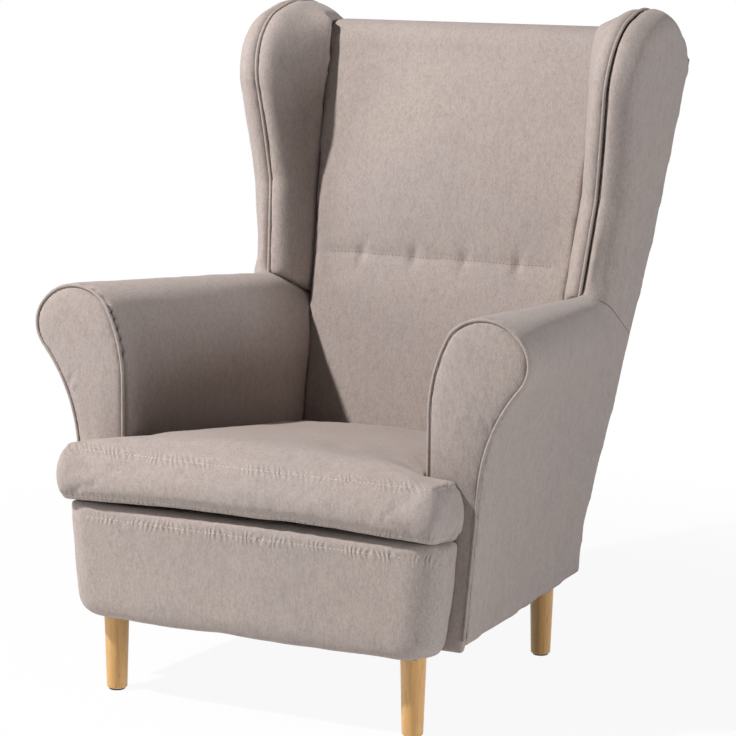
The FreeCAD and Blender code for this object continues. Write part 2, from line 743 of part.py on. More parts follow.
def apron_section(z, half, front, rear):
    """Plan outline of the apron: straight returns, round corners and a slightly swelled front."""
    corner = size("apron_corner")
    tuck = size("apron_tuck")
    cut = 0.3 * corner
    points = [
        (half - tuck, rear),
        (half, front + corner),
        (half - cut, front + cut),
        (half - corner, front + 1),
        (0, front - 2),
        (corner - half, front + 1),
        (cut - half, front + cut),
        (-half, front + corner),
        (tuck - half, rear),
    ]
    return wire([Vector(x, y, z) for x, y in points], (1, 2, 3))


def apron_form(amount, open_by=0.0):
    """Apron drawn in by an amount; open_by opens its underside and its rear."""
    half = size("apron_half_width") - amount
    front = -size("apron_forward") + amount
    rear = apron_rear + open_by
    top = FRAME_BOTTOM + 200
    sections = [
        apron_section(FRAME_BOTTOM - open_by, half - 28, front + 9, rear),
        apron_section(FRAME_BOTTOM + 8, half - 22, front + 3, rear),
        apron_section(FRAME_BOTTOM + 22, half - 18, front, rear),
        apron_section(top, half, front, rear),
    ]
    return loft(sections)


def apron_limits(top):
    """Room for the apron: above the floor of the frame and under the tilted seat plane."""
    room = level_block(FRAME_BOTTOM, REACH, rear=apron_rear)
    return room.cut(seat_block(top, 2 * REACH))


frame_core = prism([
    (-size("front_rail_forward") - 0.3, FRAME_BOTTOM - 20),
    (apron_rear + 20, FRAME_BOTTOM - 20),
    (apron_rear + 20, REACH),
    (-size("front_rail_forward") - 0.3, REACH),
], size("apron_half_width") - size("apron_tuck") - 14).cut(seat_block(DECK_BOTTOM, REACH))
apron_cover = apron_form(0).cut(apron_form(COVER, 20).cut(seat_block(DECK_TOP, REACH)))
apron_cover = apron_cover.common(apron_limits(DECK_TOP + COVER))
apron_pad = apron_form(COVER + SOFT, 20).common(apron_limits(DECK_TOP - 0.3)).cut(frame_core)

# Springs, clips and the padded deck that the cushion rests on
rear_rail_depth = (size("rear_rail_back") - rail / 2 + size("front_rail_forward")) / math.cos(
    math.radians(size("seat_tilt"))
)
front_hold = rail / 2
spring_run = rear_rail_depth - front_hold
bends = 2 * int(spring_run / size("spring_pitch") / 2)
pitch = spring_run / bends
bend_radius = pitch / 2
half_run = size("spring_width") / 2 - bend_radius
wire_radius = size("spring_wire") / 2


def zigzag(x):
    """One zigzag spring: straight runs across the chair joined by half turns."""
    height = wire_radius + 0.3
    edges = []
    side = 1
    start = Vector(x - half_run, front_hold, height)
    for number in range(bends + 1):
        end = Vector(x + side * half_run, start.y, height)
        edges.append(Part.LineSegment(start, end).toShape())
        if number < bends:
            after = Vector(end.x, end.y + pitch, height)
            middle = Vector(end.x + side * bend_radius, end.y + bend_radius, height)
            edges.append(Part.Arc(end, middle, after).toShape())
            start = after
        side = -side
    path = Part.Wire(edges)
    circle = Part.makeCircle(wire_radius, edges[0].Vertexes[0].Point, Vector(1, 0, 0))
    return path.makePipeShell([Part.Wire(circle)], True, False)


spring_count = int(size("spring_count"))
spring_places = [
    (number - (spring_count - 1) / 2) * size("spring_spacing") for number in range(spring_count)
]
springs = []
clips = []
for x in spring_places:
    springs.append(zigzag(x))
    for y in (front_hold, front_hold + spring_run):
        clip = Part.makeBox(12, 14, size("spring_wire") + 2, Vector(x - 6, y - 7, 0))
        wire_bore = Part.makeCylinder(wire_radius, 40, Vector(x - 20, y, wire_radius + 0.3), Vector(1, 0, 0))
        clips.append(clip.cut(wire_bore))
seat_springs = Part.makeCompound(springs)
seat_springs.Placement = seat_frame
spring_clips = Part.makeCompound(clips)
spring_clips.Placement = seat_frame


def plan_prism(front, rear, shrink):
    """Everything between the arms, from a depth to a depth."""
    corners = [
        (inner_side(front) - shrink, front),
        (inner_side(rear) - shrink, rear),
        (shrink - inner_side(rear), rear),
        (shrink - inner_side(front), front),
    ]
    return plate([Vector(x, y, 0) for x, y in corners], Vector(0, 0, REACH))


deck_rear = back_front(size("back_foot_height")) - 5
deck_gap = 0.3
deck_plan = plan_prism(ARM_FRONT - 1, deck_rear, deck_gap)
cloth_plan = plan_prism(-size("front_rail_forward") + 1, deck_rear, 2)
cloth_low = size("spring_wire") + 2
spring_cloth = seat_block(cloth_low, DECK_BOTTOM - 0.2).common(cloth_plan)
deck_pad = seat_block(DECK_BOTTOM, DECK_TOP).common(deck_plan)
deck_cover = seat_block(DECK_TOP, DECK_TOP + COVER).common(deck_plan)

# Inside back: padding and cover with the sewn channel, and the outside back

def back_section(x, amount):
    """Side view outline of the inside back padding at a distance from the middle."""
    half = size("back_half_width")
    swell = size("back_crown") * (1 - 0.75 * min(1.0, abs(x) / (1.15 * half)) ** 2)
    foot = size("back_foot_height")
    seam = size("back_seam_height")
    top = size("back_height") - amount
    shoulder = top - size("back_shoulder")
    middle_low = (foot + seam) / 2
    middle_high = (seam + shoulder) / 2
    rear_top = SHOULDER + 0.5
    end = rear_edge(rear_top) - amount
    ridge = back_front(shoulder) + 0.83 * size("back_shoulder")
    points = [
        (back_front(foot) + amount, foot),
        (back_front(middle_low) - swell + amount, middle_low),
        (back_front(seam) + amount, seam),
        (back_front(middle_high) - swell + amount, middle_high),
        (back_front(shoulder) + amount, shoulder),
        (back_front(shoulder) + 13 + 0.6 * amount, top - 13),
        (ridge, top),
        (0.5 * (ridge + end) + 4, top - 9),
        (end, rear_top + 14 - amount),
        (end, rear_top),
        (webbing_plane(rear_top), rear_top),
        (webbing_plane(foot), foot),
    ]
    return wire([Vector(x, y, z) for y, z in points], (0, 1, 2, 3))


def back_form(amount):
    """Inside back drawn in by an amount, lofted across the chair and trimmed at its sides."""
    reach = 1.6 * size("back_half_width")
    stations = [reach * step / 4 for step in range(-4, 5)]
    return loft([back_section(x, amount) for x in stations])


back_room = between_back_sides(SOFT + 0.3)
back_cover = back_form(0).cut(back_form(COVER)).common(back_room)
back_pad = back_form(COVER + SOFT).common(back_room)
back_pad = cut_all(back_pad, [back_top_rail, back_lower_rail])
STRAP_WIDTH = 60
STRAP_SPACING = 96
straps = []
for number in range(4):
    x = (number - 1.5) * STRAP_SPACING
    low = lower_rail_foot
    high = TOP_RAIL_TOP
    strap = prism([
        (webbing_plane(low) + 0.2, low),
        (webbing_plane(low) + STRAP_THICKNESS, low),
        (webbing_plane(high) + STRAP_THICKNESS, high),
        (webbing_plane(high) + 0.2, high),
    ], STRAP_WIDTH / 2)
    strap.translate(Vector(x, 0, 0))
    straps.append(strap)
back_webbing = Part.makeCompound(straps)
outside_back = prism(
    rear_line(FRAME_BOTTOM, SHOULDER, size("outside_back_thickness"))
    + rear_line(FRAME_BOTTOM, SHOULDER)[::-1]
)
outside_back = cut_all(outside_back, both(side_block(-REACH, 0)))

# Dust cover under the frame, its staples and the screws of the plates
cloth = size("cloth_thickness")
dust_front = -size("front_rail_forward") + 4
dust_rear = size("rear_rail_back")


def dust_half(y):
    """Half width of the dust cover at a depth."""
    return outer_side(y, FRAME_BOTTOM) - 50


dust_corners = [
    Vector(dust_half(dust_front), dust_front, FRAME_BOTTOM - cloth),
    Vector(dust_half(dust_rear), dust_rear, FRAME_BOTTOM - cloth),
    Vector(-dust_half(dust_rear), dust_rear, FRAME_BOTTOM - cloth),
    Vector(-dust_half(dust_front), dust_front, FRAME_BOTTOM - cloth),
]
dust_cover = plate(dust_corners, Vector(0, 0, cloth))
leg_hole = Part.makeCylinder(size("leg_top_diameter") / 2 + 1, 40, Vector(0, 0, FRAME_BOTTOM - 20))
dust_cover = dust_cover.cut(at_legs(leg_hole))
STAPLE_LONG = 11
STAPLE_WIDE = 1.2
STAPLE_HIGH = 0.8
STAPLE_ROWS = 9


def staple(x, y, across):
    """One staple under the dust cover, lying across the chair or front to rear."""
    wide, deep = (STAPLE_LONG, STAPLE_WIDE) if across else (STAPLE_WIDE, STAPLE_LONG)
    low = FRAME_BOTTOM - cloth - STAPLE_HIGH
    return Part.makeBox(wide, deep, STAPLE_HIGH, Vector(x - wide / 2, y - deep / 2, low))


staples = []
for number in range(STAPLE_ROWS):
    share = (number + 0.5) / STAPLE_ROWS
    y = dust_front + 10 + share * (dust_rear - dust_front - 20)
    staples += [staple(side * (dust_half(y) - 8), y, False) for side in (1, -1)]
    if 0 < number < STAPLE_ROWS - 1:
        x = (share - 0.5) * 2 * dust_half(dust_rear)
        staples += [staple(x, y_row, True) for y_row in (dust_front + 9, dust_rear - 10)]
staples = [item for item in staples if item.common(at_legs(leg_hole)).Volume == 0]
dust_staples = Part.makeCompound(staples)
SCREW_LENGTH = 45
screw = Part.makeCylinder(2.25, SCREW_LENGTH, Vector(0, 0, FRAME_BOTTOM))
screw = screw.fuse(Part.makeCone(4.5, 2.25, 4, Vector(0, 0, FRAME_BOTTOM))).removeSplitter()
screw_points = [
    (x, y)
    for side in (-1, 1)
    for x, y in (
        (side * (size("front_leg_offset") - 40), -size("front_rail_forward") + rail / 2),
        (side * (size("front_leg_offset") + 20), -size("front_rail_forward") + rail / 2),
        (side * (size("rear_leg_offset") - 25), size("rear_rail_back") - rail / 2),
        (side * (size("rear_leg_offset") - 50), size("rear_rail_back") - rail / 2),
    )
]
screws = []
for x, y in screw_points:
    copy = screw.copy()
    copy.translate(Vector(x, y, 0))
    screws.append(copy)
plate_screws = Part.makeCompound(screws)

# Loose seat cushion: wide in front of the arms, crowned on top, sides swelled between their seams
cushion_floor = DECK_TOP + COVER + 0.2
cushion_depth = size("cushion_forward") - size("front_rail_forward")
cushion_end = size("front_rail_forward") + back_front(size("back_foot_height")) - size("cushion_gap") - 9
cushion_end = cushion_end / math.cos(math.radians(size("seat_tilt")))


def cushion_section(y, drop, half, crown, bow, amount):
    """Front view outline of the cushion at a depth, in the tilted frame of the seat."""
    low = cushion_floor + drop + amount
    high = cushion_floor + size("cushion_side_height") - drop - amount
    wide = half - amount
    middle = (low + high) / 2
    points = [
        (-wide, low),
        (-wide - 7, middle),
        (-wide, high),
        (0, high + crown),
        (wide, high),
        (wide + 7, middle),
        (wide, low),
        (0, low + bow),
    ]
    return wire([Vector(x, y, z) for x, z in points], (0, 1, 2, 3))


def cushion_form(amount):
    """Cushion drawn in by an amount, before its rear is narrowed between the arms."""
    wide = size("cushion_half_width") - 7
    crown = size("cushion_crown")
    front = -cushion_depth + amount
    rear = cushion_end - amount
    sections = [
        cushion_section(front, 20, wide - 12, 0.2 * crown, 8, amount),
        cushion_section(front + 5, 8, wide - 4, 0.3 * crown, 8, amount),
        cushion_section(front + 16, 1, wide, 0.5 * crown, 8, amount),
        cushion_section(front + 50, 0, wide, 0.8 * crown, 6, amount),
        cushion_section(front + 150, 0, wide, crown, 3, amount),
        cushion_section(front + 300, 0, wide, crown, 1, amount),
        cushion_section(rear - 60, 0, wide, 0.7 * crown, 0.5, amount),
        cushion_section(rear - 8, 2, wide, 0.45 * crown, 0.5, amount),
        cushion_section(rear, 12, wide, 0.3 * crown, 0.5, amount),
    ]
    return loft(sections)


def beside_cushion(amount):
    """Blocks that the arms fill beside the cushion's rear part."""
    gap = size("cushion_gap") + amount
    front = ARM_FRONT - gap
    rear = REACH
    corners = [
        (inner_side(front) - gap, front),
        (REACH, front),
        (REACH, rear),
        (inner_side(rear) - gap, rear),
    ]
    return both(plate([Vector(x, y, -50) for x, y in corners], Vector(0, 0, 3 * REACH)))


def placed_cushion(amount):
    """Cushion form set on the deck and narrowed between the arms."""
    shape = cushion_form(amount)
    shape.Placement = seat_frame
    return cut_all(shape, beside_cushion(amount))


skin = size("cushion_cover")
cushion_inner = placed_cushion(skin)
cushion_cover = placed_cushion(0).cut(cushion_inner)
cushion_core = placed_cushion(skin + SOFT)
zip_rear = cushion_end
zip_half = inner_side(zip_rear - size("front_rail_forward")) - size("cushion_gap") - size("zip_margin")
zip_level = cushion_floor + size("cushion_side_height") / 2
zip_low = zip_level - size("zip_width") / 2
zip_tape = Part.makeBox(2 * zip_half, 1.2, size("zip_width"), Vector(-zip_half, zip_rear, zip_low))
TEETH_WIDTH = 6
teeth = Part.makeBox(2 * zip_half - 6, 1.4, TEETH_WIDTH, Vector(3 - zip_half, zip_rear + 1.2, zip_level - 3))
zip_tape = zip_tape.fuse(teeth).removeSplitter()
zip_tape.Placement = seat_frame
slider_front = zip_rear + 1.2 + 1.4 + 0.3
SLIDER = (14, 2.2, 10)
slider = Part.makeBox(*SLIDER, Vector(6 - zip_half, slider_front, zip_level - SLIDER[2] / 2))
slider = slider.makeChamfer(0.6, slider.Edges)
puller = Part.makeBox(20, 1.2, 6, Vector(14 - zip_half, slider_front + SLIDER[1], zip_level - 3))
slider = slider.fuse(puller).removeSplitter()
slider.Placement = seat_frame

# Bores of bolts, nuts and screws, and the room that the padding leaves for the wood
apron_inside = apron_form(COVER + SOFT + 1)
front_rail = front_rail.common(apron_inside)
front_plate = front_plate.common(apron_inside).cut(leg_bores).cut(plate_screws)
rear_plate = rear_plate.cut(leg_bores).cut(plate_screws)
rear_rail = rear_rail.cut(plate_screws)
front_rail = front_rail.cut(plate_screws)
apron_pad = cut_all(apron_pad, both(side_rail))

# The sub-parts
feature("leg_plates", Part.makeCompound(both(front_plate) + both(rear_plate)))
feature("plate_screws", plate_screws)
feature("seat_front_rail", front_rail)
feature("seat_rear_rail", rear_rail)
pair("seat_side_rail", side_rail)
pair("back_post", post)
feature("back_top_rail", back_top_rail)
feature("back_lower_rail", back_lower_rail)
feature("back_webbing", back_webbing)
pair("arm_front_board", arm_board)
pair("arm_top_rail", arm_top_rail)
pair("wing_board", wing_board)
feature("seat_springs", seat_springs)
feature("spring_clips", spring_clips)
feature("spring_cloth", spring_cloth)
feature("seat_deck_pad", deck_pad)
feature("seat_deck_cover", deck_cover)
feature("apron_pad", apron_pad)
feature("apron_cover", apron_cover)
pair("arm_pad", arm_pad)
pair("arm_cover", arm_cover)
pair("arm_front_panel", arm_panel)
pair("arm_piping", arm_piping)
pair("wing_outer_pad", wing_outer_pad)
pair("wing_outer_cover", wing_outer_cover)
pair("wing_inner_pad", wing_inner_pad)
pair("wing_inner_cover", wing_inner_cover)
pair("wing_piping", wing_piping)
feature("back_pad", back_pad)
feature("back_cover", back_cover)
feature("outside_back_panel", outside_back)
feature("dust_cover", dust_cover)
feature("dust_cover_staples", dust_staples)
feature("cushion_core", cushion_core)
feature("cushion_cover", cushion_cover)
feature("cushion_zip_tape", zip_tape)
feature("zip_slider", slider)

doc.recompute()
for item in doc.Objects:
    if "Invalid" in item.State or "Error" in item.State:
        raise RuntimeError(f"{item.Label} failed: {item.State}")
for item in exported:
    if item.Shape.isNull() or not item.Shape.isValid():
        raise RuntimeError(f"{item.Label} has no valid shape")
os.makedirs("parts", exist_ok=True)
for item in exported:
    item.Shape.exportStep(f"parts/{item.Label}.step")
print(f"{len(exported)} sub-parts written")
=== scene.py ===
"""Wingback armchair: upholstery, stitching and finishes round the packed solids, laid out as a Blender add-on.

Metres, +Z up, floor at Z = 0. The chair faces -Y and is mirrored about X = 0.
"""

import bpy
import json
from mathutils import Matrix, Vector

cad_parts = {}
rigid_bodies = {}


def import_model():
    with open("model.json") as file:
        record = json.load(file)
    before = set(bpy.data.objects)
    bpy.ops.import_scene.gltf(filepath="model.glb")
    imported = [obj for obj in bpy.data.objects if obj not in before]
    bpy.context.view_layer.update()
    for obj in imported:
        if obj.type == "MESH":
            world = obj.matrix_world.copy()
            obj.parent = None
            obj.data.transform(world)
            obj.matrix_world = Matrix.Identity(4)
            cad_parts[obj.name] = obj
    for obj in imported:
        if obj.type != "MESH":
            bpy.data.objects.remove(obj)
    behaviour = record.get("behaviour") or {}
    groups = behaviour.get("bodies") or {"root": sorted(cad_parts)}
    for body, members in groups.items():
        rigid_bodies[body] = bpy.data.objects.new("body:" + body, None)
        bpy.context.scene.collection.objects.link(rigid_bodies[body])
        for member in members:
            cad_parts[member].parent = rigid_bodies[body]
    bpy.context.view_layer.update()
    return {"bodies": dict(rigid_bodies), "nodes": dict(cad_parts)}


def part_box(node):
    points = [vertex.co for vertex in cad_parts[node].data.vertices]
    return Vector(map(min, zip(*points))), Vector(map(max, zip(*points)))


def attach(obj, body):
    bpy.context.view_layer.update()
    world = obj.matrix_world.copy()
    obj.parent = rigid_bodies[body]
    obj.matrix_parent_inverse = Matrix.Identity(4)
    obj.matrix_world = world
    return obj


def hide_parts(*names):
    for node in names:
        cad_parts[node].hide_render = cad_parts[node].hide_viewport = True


bl_info = {
    "name": "Wingback Armchair",
    "version": (1, 0, 0),
    "blender": (4, 5, 0),
    "location": "View3D > Sidebar > Armchair",
    "description": "Upholsters the packed armchair and sets it on a studio floor",
    "category": "Object",
}

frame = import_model()

import json
import math

import bmesh
import bpy
import numpy as np
from bpy.props import FloatProperty, FloatVectorProperty, IntProperty, PointerProperty
from mathutils import Matrix, Vector, noise
from mathutils.bvhtree import BVHTree

MM = 0.001
SIDES = {"right": 1, "left": -1}

# Lines of the chair that seams and stitches follow, in millimetres, as in the solids
ARM_FRONT = -347.6
HALF_WIDTH = 314
FRAME_BOTTOM = 125
SIDE_BOTTOM = 131
ARM_OUTLINE = [
    (251, 125), (251, 456), (258, 520), (283, 582), (338.5, 606), (394, 578), (407, 548), (394, 508),
    (356, 448), (334, 360), (314, 125),
]
ARM_ARCS = (1, 2, 3, 4)
WING_START = (143.4, 568)
WING_CURVE = [
    (-3, 0), (12, 80), (25, 148), (19, 222), (7, 312), (32, 387), (101, 429), (184, 438), (260, 409),
    (288, 392), (300, 367),
]
WING_ARCS = (0, 1, 2, 3, 4)
WING_FOOT_SLOPE = math.tan(math.radians(29.5))
SEAM_IN = 45
SIDE_LEAN = math.radians(5.43)
SIDE_TAPER = math.radians(3.9)
REAR_FOOT = 153.4
REAR_KINK = 205
REAR_BEND = 640
BACK_RAKE = math.tan(math.radians(24.2))
UPPER_RAKE = math.tan(math.radians(17.4))
BACK_LINE = (123.4, 232, math.tan(math.radians(12.75)))
CHANNEL_HEIGHT = 605
TUCKS = (-140, -46, 46, 140)
SEAT_START = (0, -414.6, 245)
SEAT_TILT = math.radians(6)
DECK_TOP = 47.8
CUSHION_SIDE = 86
CUSHION_MIDDLE = DECK_TOP + CUSHION_SIDE / 2
APRON_REAR = -0.3489

# Rows of stitches: heights over the deck for the cushion, over the tilted seat for the apron
UPPER_ROW = CUSHION_SIDE - 7
LOWER_ROW = 9
APRON_ROW = DECK_TOP - 20

side_frame = (
    Matrix.Translation(Vector((HALF_WIDTH, ARM_FRONT, FRAME_BOTTOM)) * MM)
    @ Matrix.Rotation(SIDE_TAPER, 4, "Z")
    @ Matrix.Rotation(SIDE_LEAN, 4, "Y")
)
seat_frame = Matrix.Translation(Vector(SEAT_START) * MM) @ Matrix.Rotation(-SEAT_TILT, 4, "X")

# Camera, solved from the photograph, and where the lights come from
CAMERA_PLACE = (1.874, -3.7096, 1.167)
CAMERA_YAW = math.radians(27.05)
CAMERA_PITCH = math.radians(90 - 9.71)
CAMERA_ROLL = math.radians(0.58)
CAMERA_LENS = 132.2
CAMERA_SENSOR = 36
KEY_FROM = (-0.4826, -0.4997, 0.7193)
KEY_DISTANCE = 4
KEY_LIFT = 0.5
KEY_RADIUS = 0.08
SIDE_FROM = (0.98, 0.06, 0.12)
LOW_FROM = (-0.80, -0.58, 0.14)
FLOOR_RADIUS = 30
FLOOR_FADE = (0.7, 1.7)

# Spread of the two suns in degrees, and the colours of the light
SUN_SPREAD = 20
COOL = (0.95, 0.98, 1.0)
WARM = (1.0, 0.985, 0.965)


# ---------------------------------------------------------------- settings


def colour_setting(name, text, default):
    """A colour."""
    return FloatVectorProperty(name=name, description=text, subtype="COLOR", size=3, min=0, max=1, default=default)


def length_setting(name, text, low, high, default):
    """A length in metres."""
    return FloatProperty(
        name=name, description=text, subtype="DISTANCE", unit="LENGTH", min=low, max=high, default=default
    )


def strength_setting(name, text, high, default):
    """A plain number from 0 up to a highest value."""
    return FloatProperty(name=name, description=text, min=0, max=high, default=default)


class ArmchairFabric(bpy.types.PropertyGroup):
    """Colours and surface of the upholstery."""

    colour: colour_setting("Cloth colour", "Main colour of the upholstery", (0.437, 0.371, 0.340))
    fleck: colour_setting("Fleck colour", "Darker yarn that shows as flecks", (0.300, 0.248, 0.229))
    thread: colour_setting("Thread colour", "Topstitching on the cushion and the apron", (0.66, 0.58, 0.50))
    lining: colour_setting("Lining colour", "Cloth under the frame", (0.045, 0.043, 0.042))
    nap: length_setting("Nap", "Depth of the woven surface", 0, 0.002, 0.0004)


class ArmchairPadding(bpy.types.PropertyGroup):
    """How finely and how fully the padding is formed."""

    voxel: length_setting("Skin detail", "Size of the faces of the padded skins", 0.003, 0.02, 0.005)
    pressure: strength_setting("Filling", "Pressure of the filling in the cushion", 20, 4)
    swell: length_setting("Swell limit", "Most that the filling moves the cloth", 0, 0.03, 0.007)
    frames: IntProperty(name="Steps", description="Steps of the cloth simulation", min=1, max=60, default=20)


class ArmchairStitching(bpy.types.PropertyGroup):
    """Sizes of the topstitching and the piping."""

    pitch: length_setting("Stitch pitch", "Distance from stitch to stitch", 0.002, 0.02, 0.0063)
    length: length_setting("Stitch length", "Length of thread that shows", 0.001, 0.02, 0.0042)
    thickness: length_setting("Thread thickness", "Thickness of the thread", 0.0003, 0.003, 0.0014)
    piping: length_setting("Piping radius", "Radius of the covered cord in the seams", 0.001, 0.006, 0.0025)


class ArmchairWood(bpy.types.PropertyGroup):
    """Colours of the legs."""

    beech: colour_setting("Leg colour", "Lacquered beech of the legs", (0.700, 0.405, 0.145))
    grain: colour_setting("Grain colour", "Darker streaks of the beech", (0.520, 0.270, 0.085))


class ArmchairStage(bpy.types.PropertyGroup):
    """Lights and floor."""

    key: strength_setting("Key light", "Strength of the main light", 20, 3.85)
    side: strength_setting("Side light", "Strength of the light on the right", 20, 1.8)
    low: strength_setting("Low light", "Strength of the low light from the left", 20, 0.8)
    fill: strength_setting("Fill light", "Strength of the soft surround", 5, 0.06)


SETTINGS = {
    "armchair_fabric": ArmchairFabric,
    "armchair_padding": ArmchairPadding,
    "armchair_stitching": ArmchairStitching,
    "armchair_wood": ArmchairWood,
    "armchair_stage": ArmchairStage,
}


# ---------------------------------------------------------------- node tools


class Number:
    """A shader value: an expression on it adds Math nodes."""

    def __init__(self, nodes, socket):
        self.nodes = nodes
        self.socket = socket

    def math(self, operation, *others):
        return self.nodes.number("ShaderNodeMath", {"operation": operation}, [self, *others])

    def __add__(self, other):
        return self.math("ADD", other)

    __radd__ = __add__

    def __sub__(self, other):
        return self.math("SUBTRACT", other)

    def __rsub__(self, other):
        return self.nodes.number("ShaderNodeMath", {"operation": "SUBTRACT"}, [other, self])

    def __mul__(self, other):
        return self.math("MULTIPLY", other)

    __rmul__ = __mul__

    def __truediv__(self, other):
        return self.math("DIVIDE", other)

    def near(self, place, width):
        """1 at a place, falling to 0 at a distance of width."""
        distance = (self - place).math("ABSOLUTE") / width
        return (1 - distance).math("MAXIMUM", 0)

    def over(self, low, high):
        """0 below low, 1 above high, smooth between."""
        values = {"Value": self, "From Min": low, "From Max": high}
        return self.nodes.number("ShaderNodeMapRange", {"interpolation_type": "SMOOTHSTEP"}, values)


class Nodes:
    """A node tree and the calls that fill it."""

    def __init__(self, tree):
        self.tree = tree

    def add(self, kind, settings=None, inputs=None):
        """A node with its settings first, then the values or links of its sockets."""
        node = self.tree.nodes.new(kind)
        for key, value in (settings or {}).items():
            setattr(node, key, value)
        pairs = inputs.items() if isinstance(inputs, dict) else enumerate(inputs or [])
        for key, value in pairs:
            self.feed(node.inputs[key], value)
        return node

    def feed(self, socket, value):
        """Put a value or a link into a socket."""
        if isinstance(value, Number):
            value = value.socket
        if isinstance(value, bpy.types.NodeSocket):
            self.tree.links.new(value, socket)
        elif socket.type == "RGBA":
            socket.default_value = (*value, 1)
        else:
            socket.default_value = value

    def number(self, kind, settings=None, inputs=None, output=0):
        """A node of which one output is used as a number."""
        return Number(self, self.add(kind, settings, inputs).outputs[output])

    def seen_directly(self):
        """1 where the camera sees a surface itself, in a mirror or through glass."""
        rays = self.add("ShaderNodeLightPath").outputs
        seen = Number(self, rays["Is Camera Ray"])
        for name in ("Is Glossy Ray", "Is Transmission Ray"):
            seen = seen.math("MAXIMUM", Number(self, rays[name]))
        return seen


class Finish(Nodes):
    """One material and the nodes that make it."""

    def __init__(self, name):
        self.material = bpy.data.materials.new(name)
        self.material.use_nodes = True
        super().__init__(self.material.node_tree)
        self.shader = self.tree.nodes["Principled BSDF"]
        self.place = self.add("ShaderNodeTexCoord").outputs["Object"]

    def axes(self):
        """X, Y and Z of the place on the object, as numbers."""
        split = self.add("ShaderNodeSeparateXYZ", None, [self.place])
        return [Number(self, socket) for socket in split.outputs]

    def stretched(self, scale):
        """Object coordinates scaled by axis."""
        return self.add("ShaderNodeMapping", None, {"Vector": self.place, "Scale": scale}).outputs[0]

    def noise(self, scale, detail=2.0, rough=0.5, vector=None):
        """Noise as a number from 0 to 1."""
        values = {"Vector": vector or self.place, "Scale": scale, "Detail": detail, "Roughness": rough}
        return self.number("ShaderNodeTexNoise", None, values)

    def mix(self, factor, first, second):
        """Colour between two colours."""
        return self.add("ShaderNodeMix", {"data_type": "RGBA"}, {0: factor, 6: first, 7: second}).outputs[2]

    def bump(self, height, distance, under=None):
        """Normal from a height, over another normal."""
        values = {"Height": height, "Distance": distance}
        if under is not None:
            values["Normal"] = under
        return self.add("ShaderNodeBump", None, values).outputs[0]

    def surface(self, **inputs):
        """Feed the sockets of the main shader."""
        for key, value in inputs.items():
            self.feed(self.shader.inputs[key.replace("_", " ")], value)
        return self.material


class Tree(Nodes):
    """A geometry node tree with named inputs."""

    def __init__(self, name, sizes):
        super().__init__(bpy.data.node_groups.new(name, "GeometryNodeTree"))
        sockets = self.tree.interface
        sockets.new_socket("Geometry", in_out="INPUT", socket_type="NodeSocketGeometry")
        for label, value in sizes.items():
            socket = sockets.new_socket(label, in_out="INPUT", socket_type="NodeSocketFloat")
            socket.default_value = value
        sockets.new_socket("Material", in_out="INPUT", socket_type="NodeSocketMaterial")
        sockets.new_socket("Geometry", in_out="OUTPUT", socket_type="NodeSocketGeometry")
        self.input = self.add("NodeGroupInput").outputs

    def part(self, kind, inputs=None, settings=None):
        """First output of a new node."""
        return self.add(kind, settings, inputs).outputs[0]

    def finish(self, geometry):
        """Realize, give the material and end the tree."""
        real = self.part("GeometryNodeRealizeInstances", {"Geometry": geometry})
        real = self.part("GeometryNodeSetMaterial", {"Geometry": real, "Material": self.input["Material"]})
        self.add("NodeGroupOutput", None, [real])
        return self.tree


# ---------------------------------------------------------------- finishes


def shaded(colour, amount):
    """A colour made darker or lighter by a factor."""
    return tuple(min(1.0, channel * amount) for channel in colour)


def cloth_finish(name, colour, fleck, nap, seams=(), rows=()):
    """Short napped weave with flecks and soft patches, flat seams with a groove in the bump and painted shade in
    their colour, and gathers where asked.
    """
    finish = Finish(name)
    upright = finish.stretched((1, 1, 0.38))
    yarn = finish.noise(720, 3, 0.7, upright)
    fine = finish.noise(1500, 1, 0.5)
    slub = finish.noise(260, 3, 0.65, upright)
    patch = finish.noise(7, 3, 0.55)
    cloud = finish.noise(90, 4, 0.65, upright)
    mask = 0.52 * yarn.over(0.40, 0.68) + 0.34 * slub.over(0.40, 0.68) + 0.20 * cloud.over(0.42, 0.68)
    base = finish.mix(mask, colour, fleck)
    cool = tuple(channel * tint for channel, tint in zip(shaded(colour, 0.96), (0.965, 0.985, 1.04)))
    base = finish.mix(patch.over(0.36, 0.66) * 0.55, base, finish.mix(mask, cool, shaded(fleck, 1.02)))
    height = yarn * 0.6 + fine * 0.4
    for line in seams:
        seam_groove_and_shade = line(finish)
        # Painted shade: the seam's groove is darkened to a third of the fleck colour, as shade in the recess.
        base = finish.mix(seam_groove_and_shade * 0.6, base, shaded(fleck, 0.35))
        height = height - seam_groove_and_shade * 3
    normal = finish.bump(slub, nap * 0.8)
    for row in rows:
        normal = finish.bump(gathers(finish, row), 0.0016, normal)
    normal = finish.bump(height, nap, normal)
    finish.surface(Base_Color=base, Roughness=0.84 + 0.12 * yarn, Normal=normal)
    finish.surface(Sheen_Weight=0.16, Sheen_Roughness=0.45, Sheen_Tint=(0.94, 0.90, 0.87), IOR=1.42)
    finish.surface(Specular_IOR_Level=0.28)
    return finish.material


def gathers(finish, level):
    """Small gathers to both sides of a row of stitches at a height over the tilted seat."""
    x, y, z = finish.axes()
    place = seat_frame.translation
    height = (y - place.y) * math.sin(SEAT_TILT) + (z - place.z) * math.cos(SEAT_TILT)
    wander = finish.noise(26, 2, 0.5)
    around = x + (y - place.y) * 0.8
    folds = ((around * (2 * math.pi / 0.0088) + wander * 22).math("SINE") * 0.5 + 0.5) * wander.over(0.30, 0.62)
    return folds * height.near(level * MM, 0.011)


def side_seam_groove_and_shade(finish):
    """Flat seam on the outer side, from the foot of the wing down to the rear edge, as a mask for its groove and its
    painted shade.
    """
    x, y, z = finish.axes()
    rise = z - (WING_START[1] * MM - (y - WING_START[0] * MM) * WING_FOOT_SLOPE)
    outside = x.math("ABSOLUTE").over(0.270, 0.280)
    behind = y.over(0.140, 0.150)
    return rise.near(0, 0.0014) * outside * behind


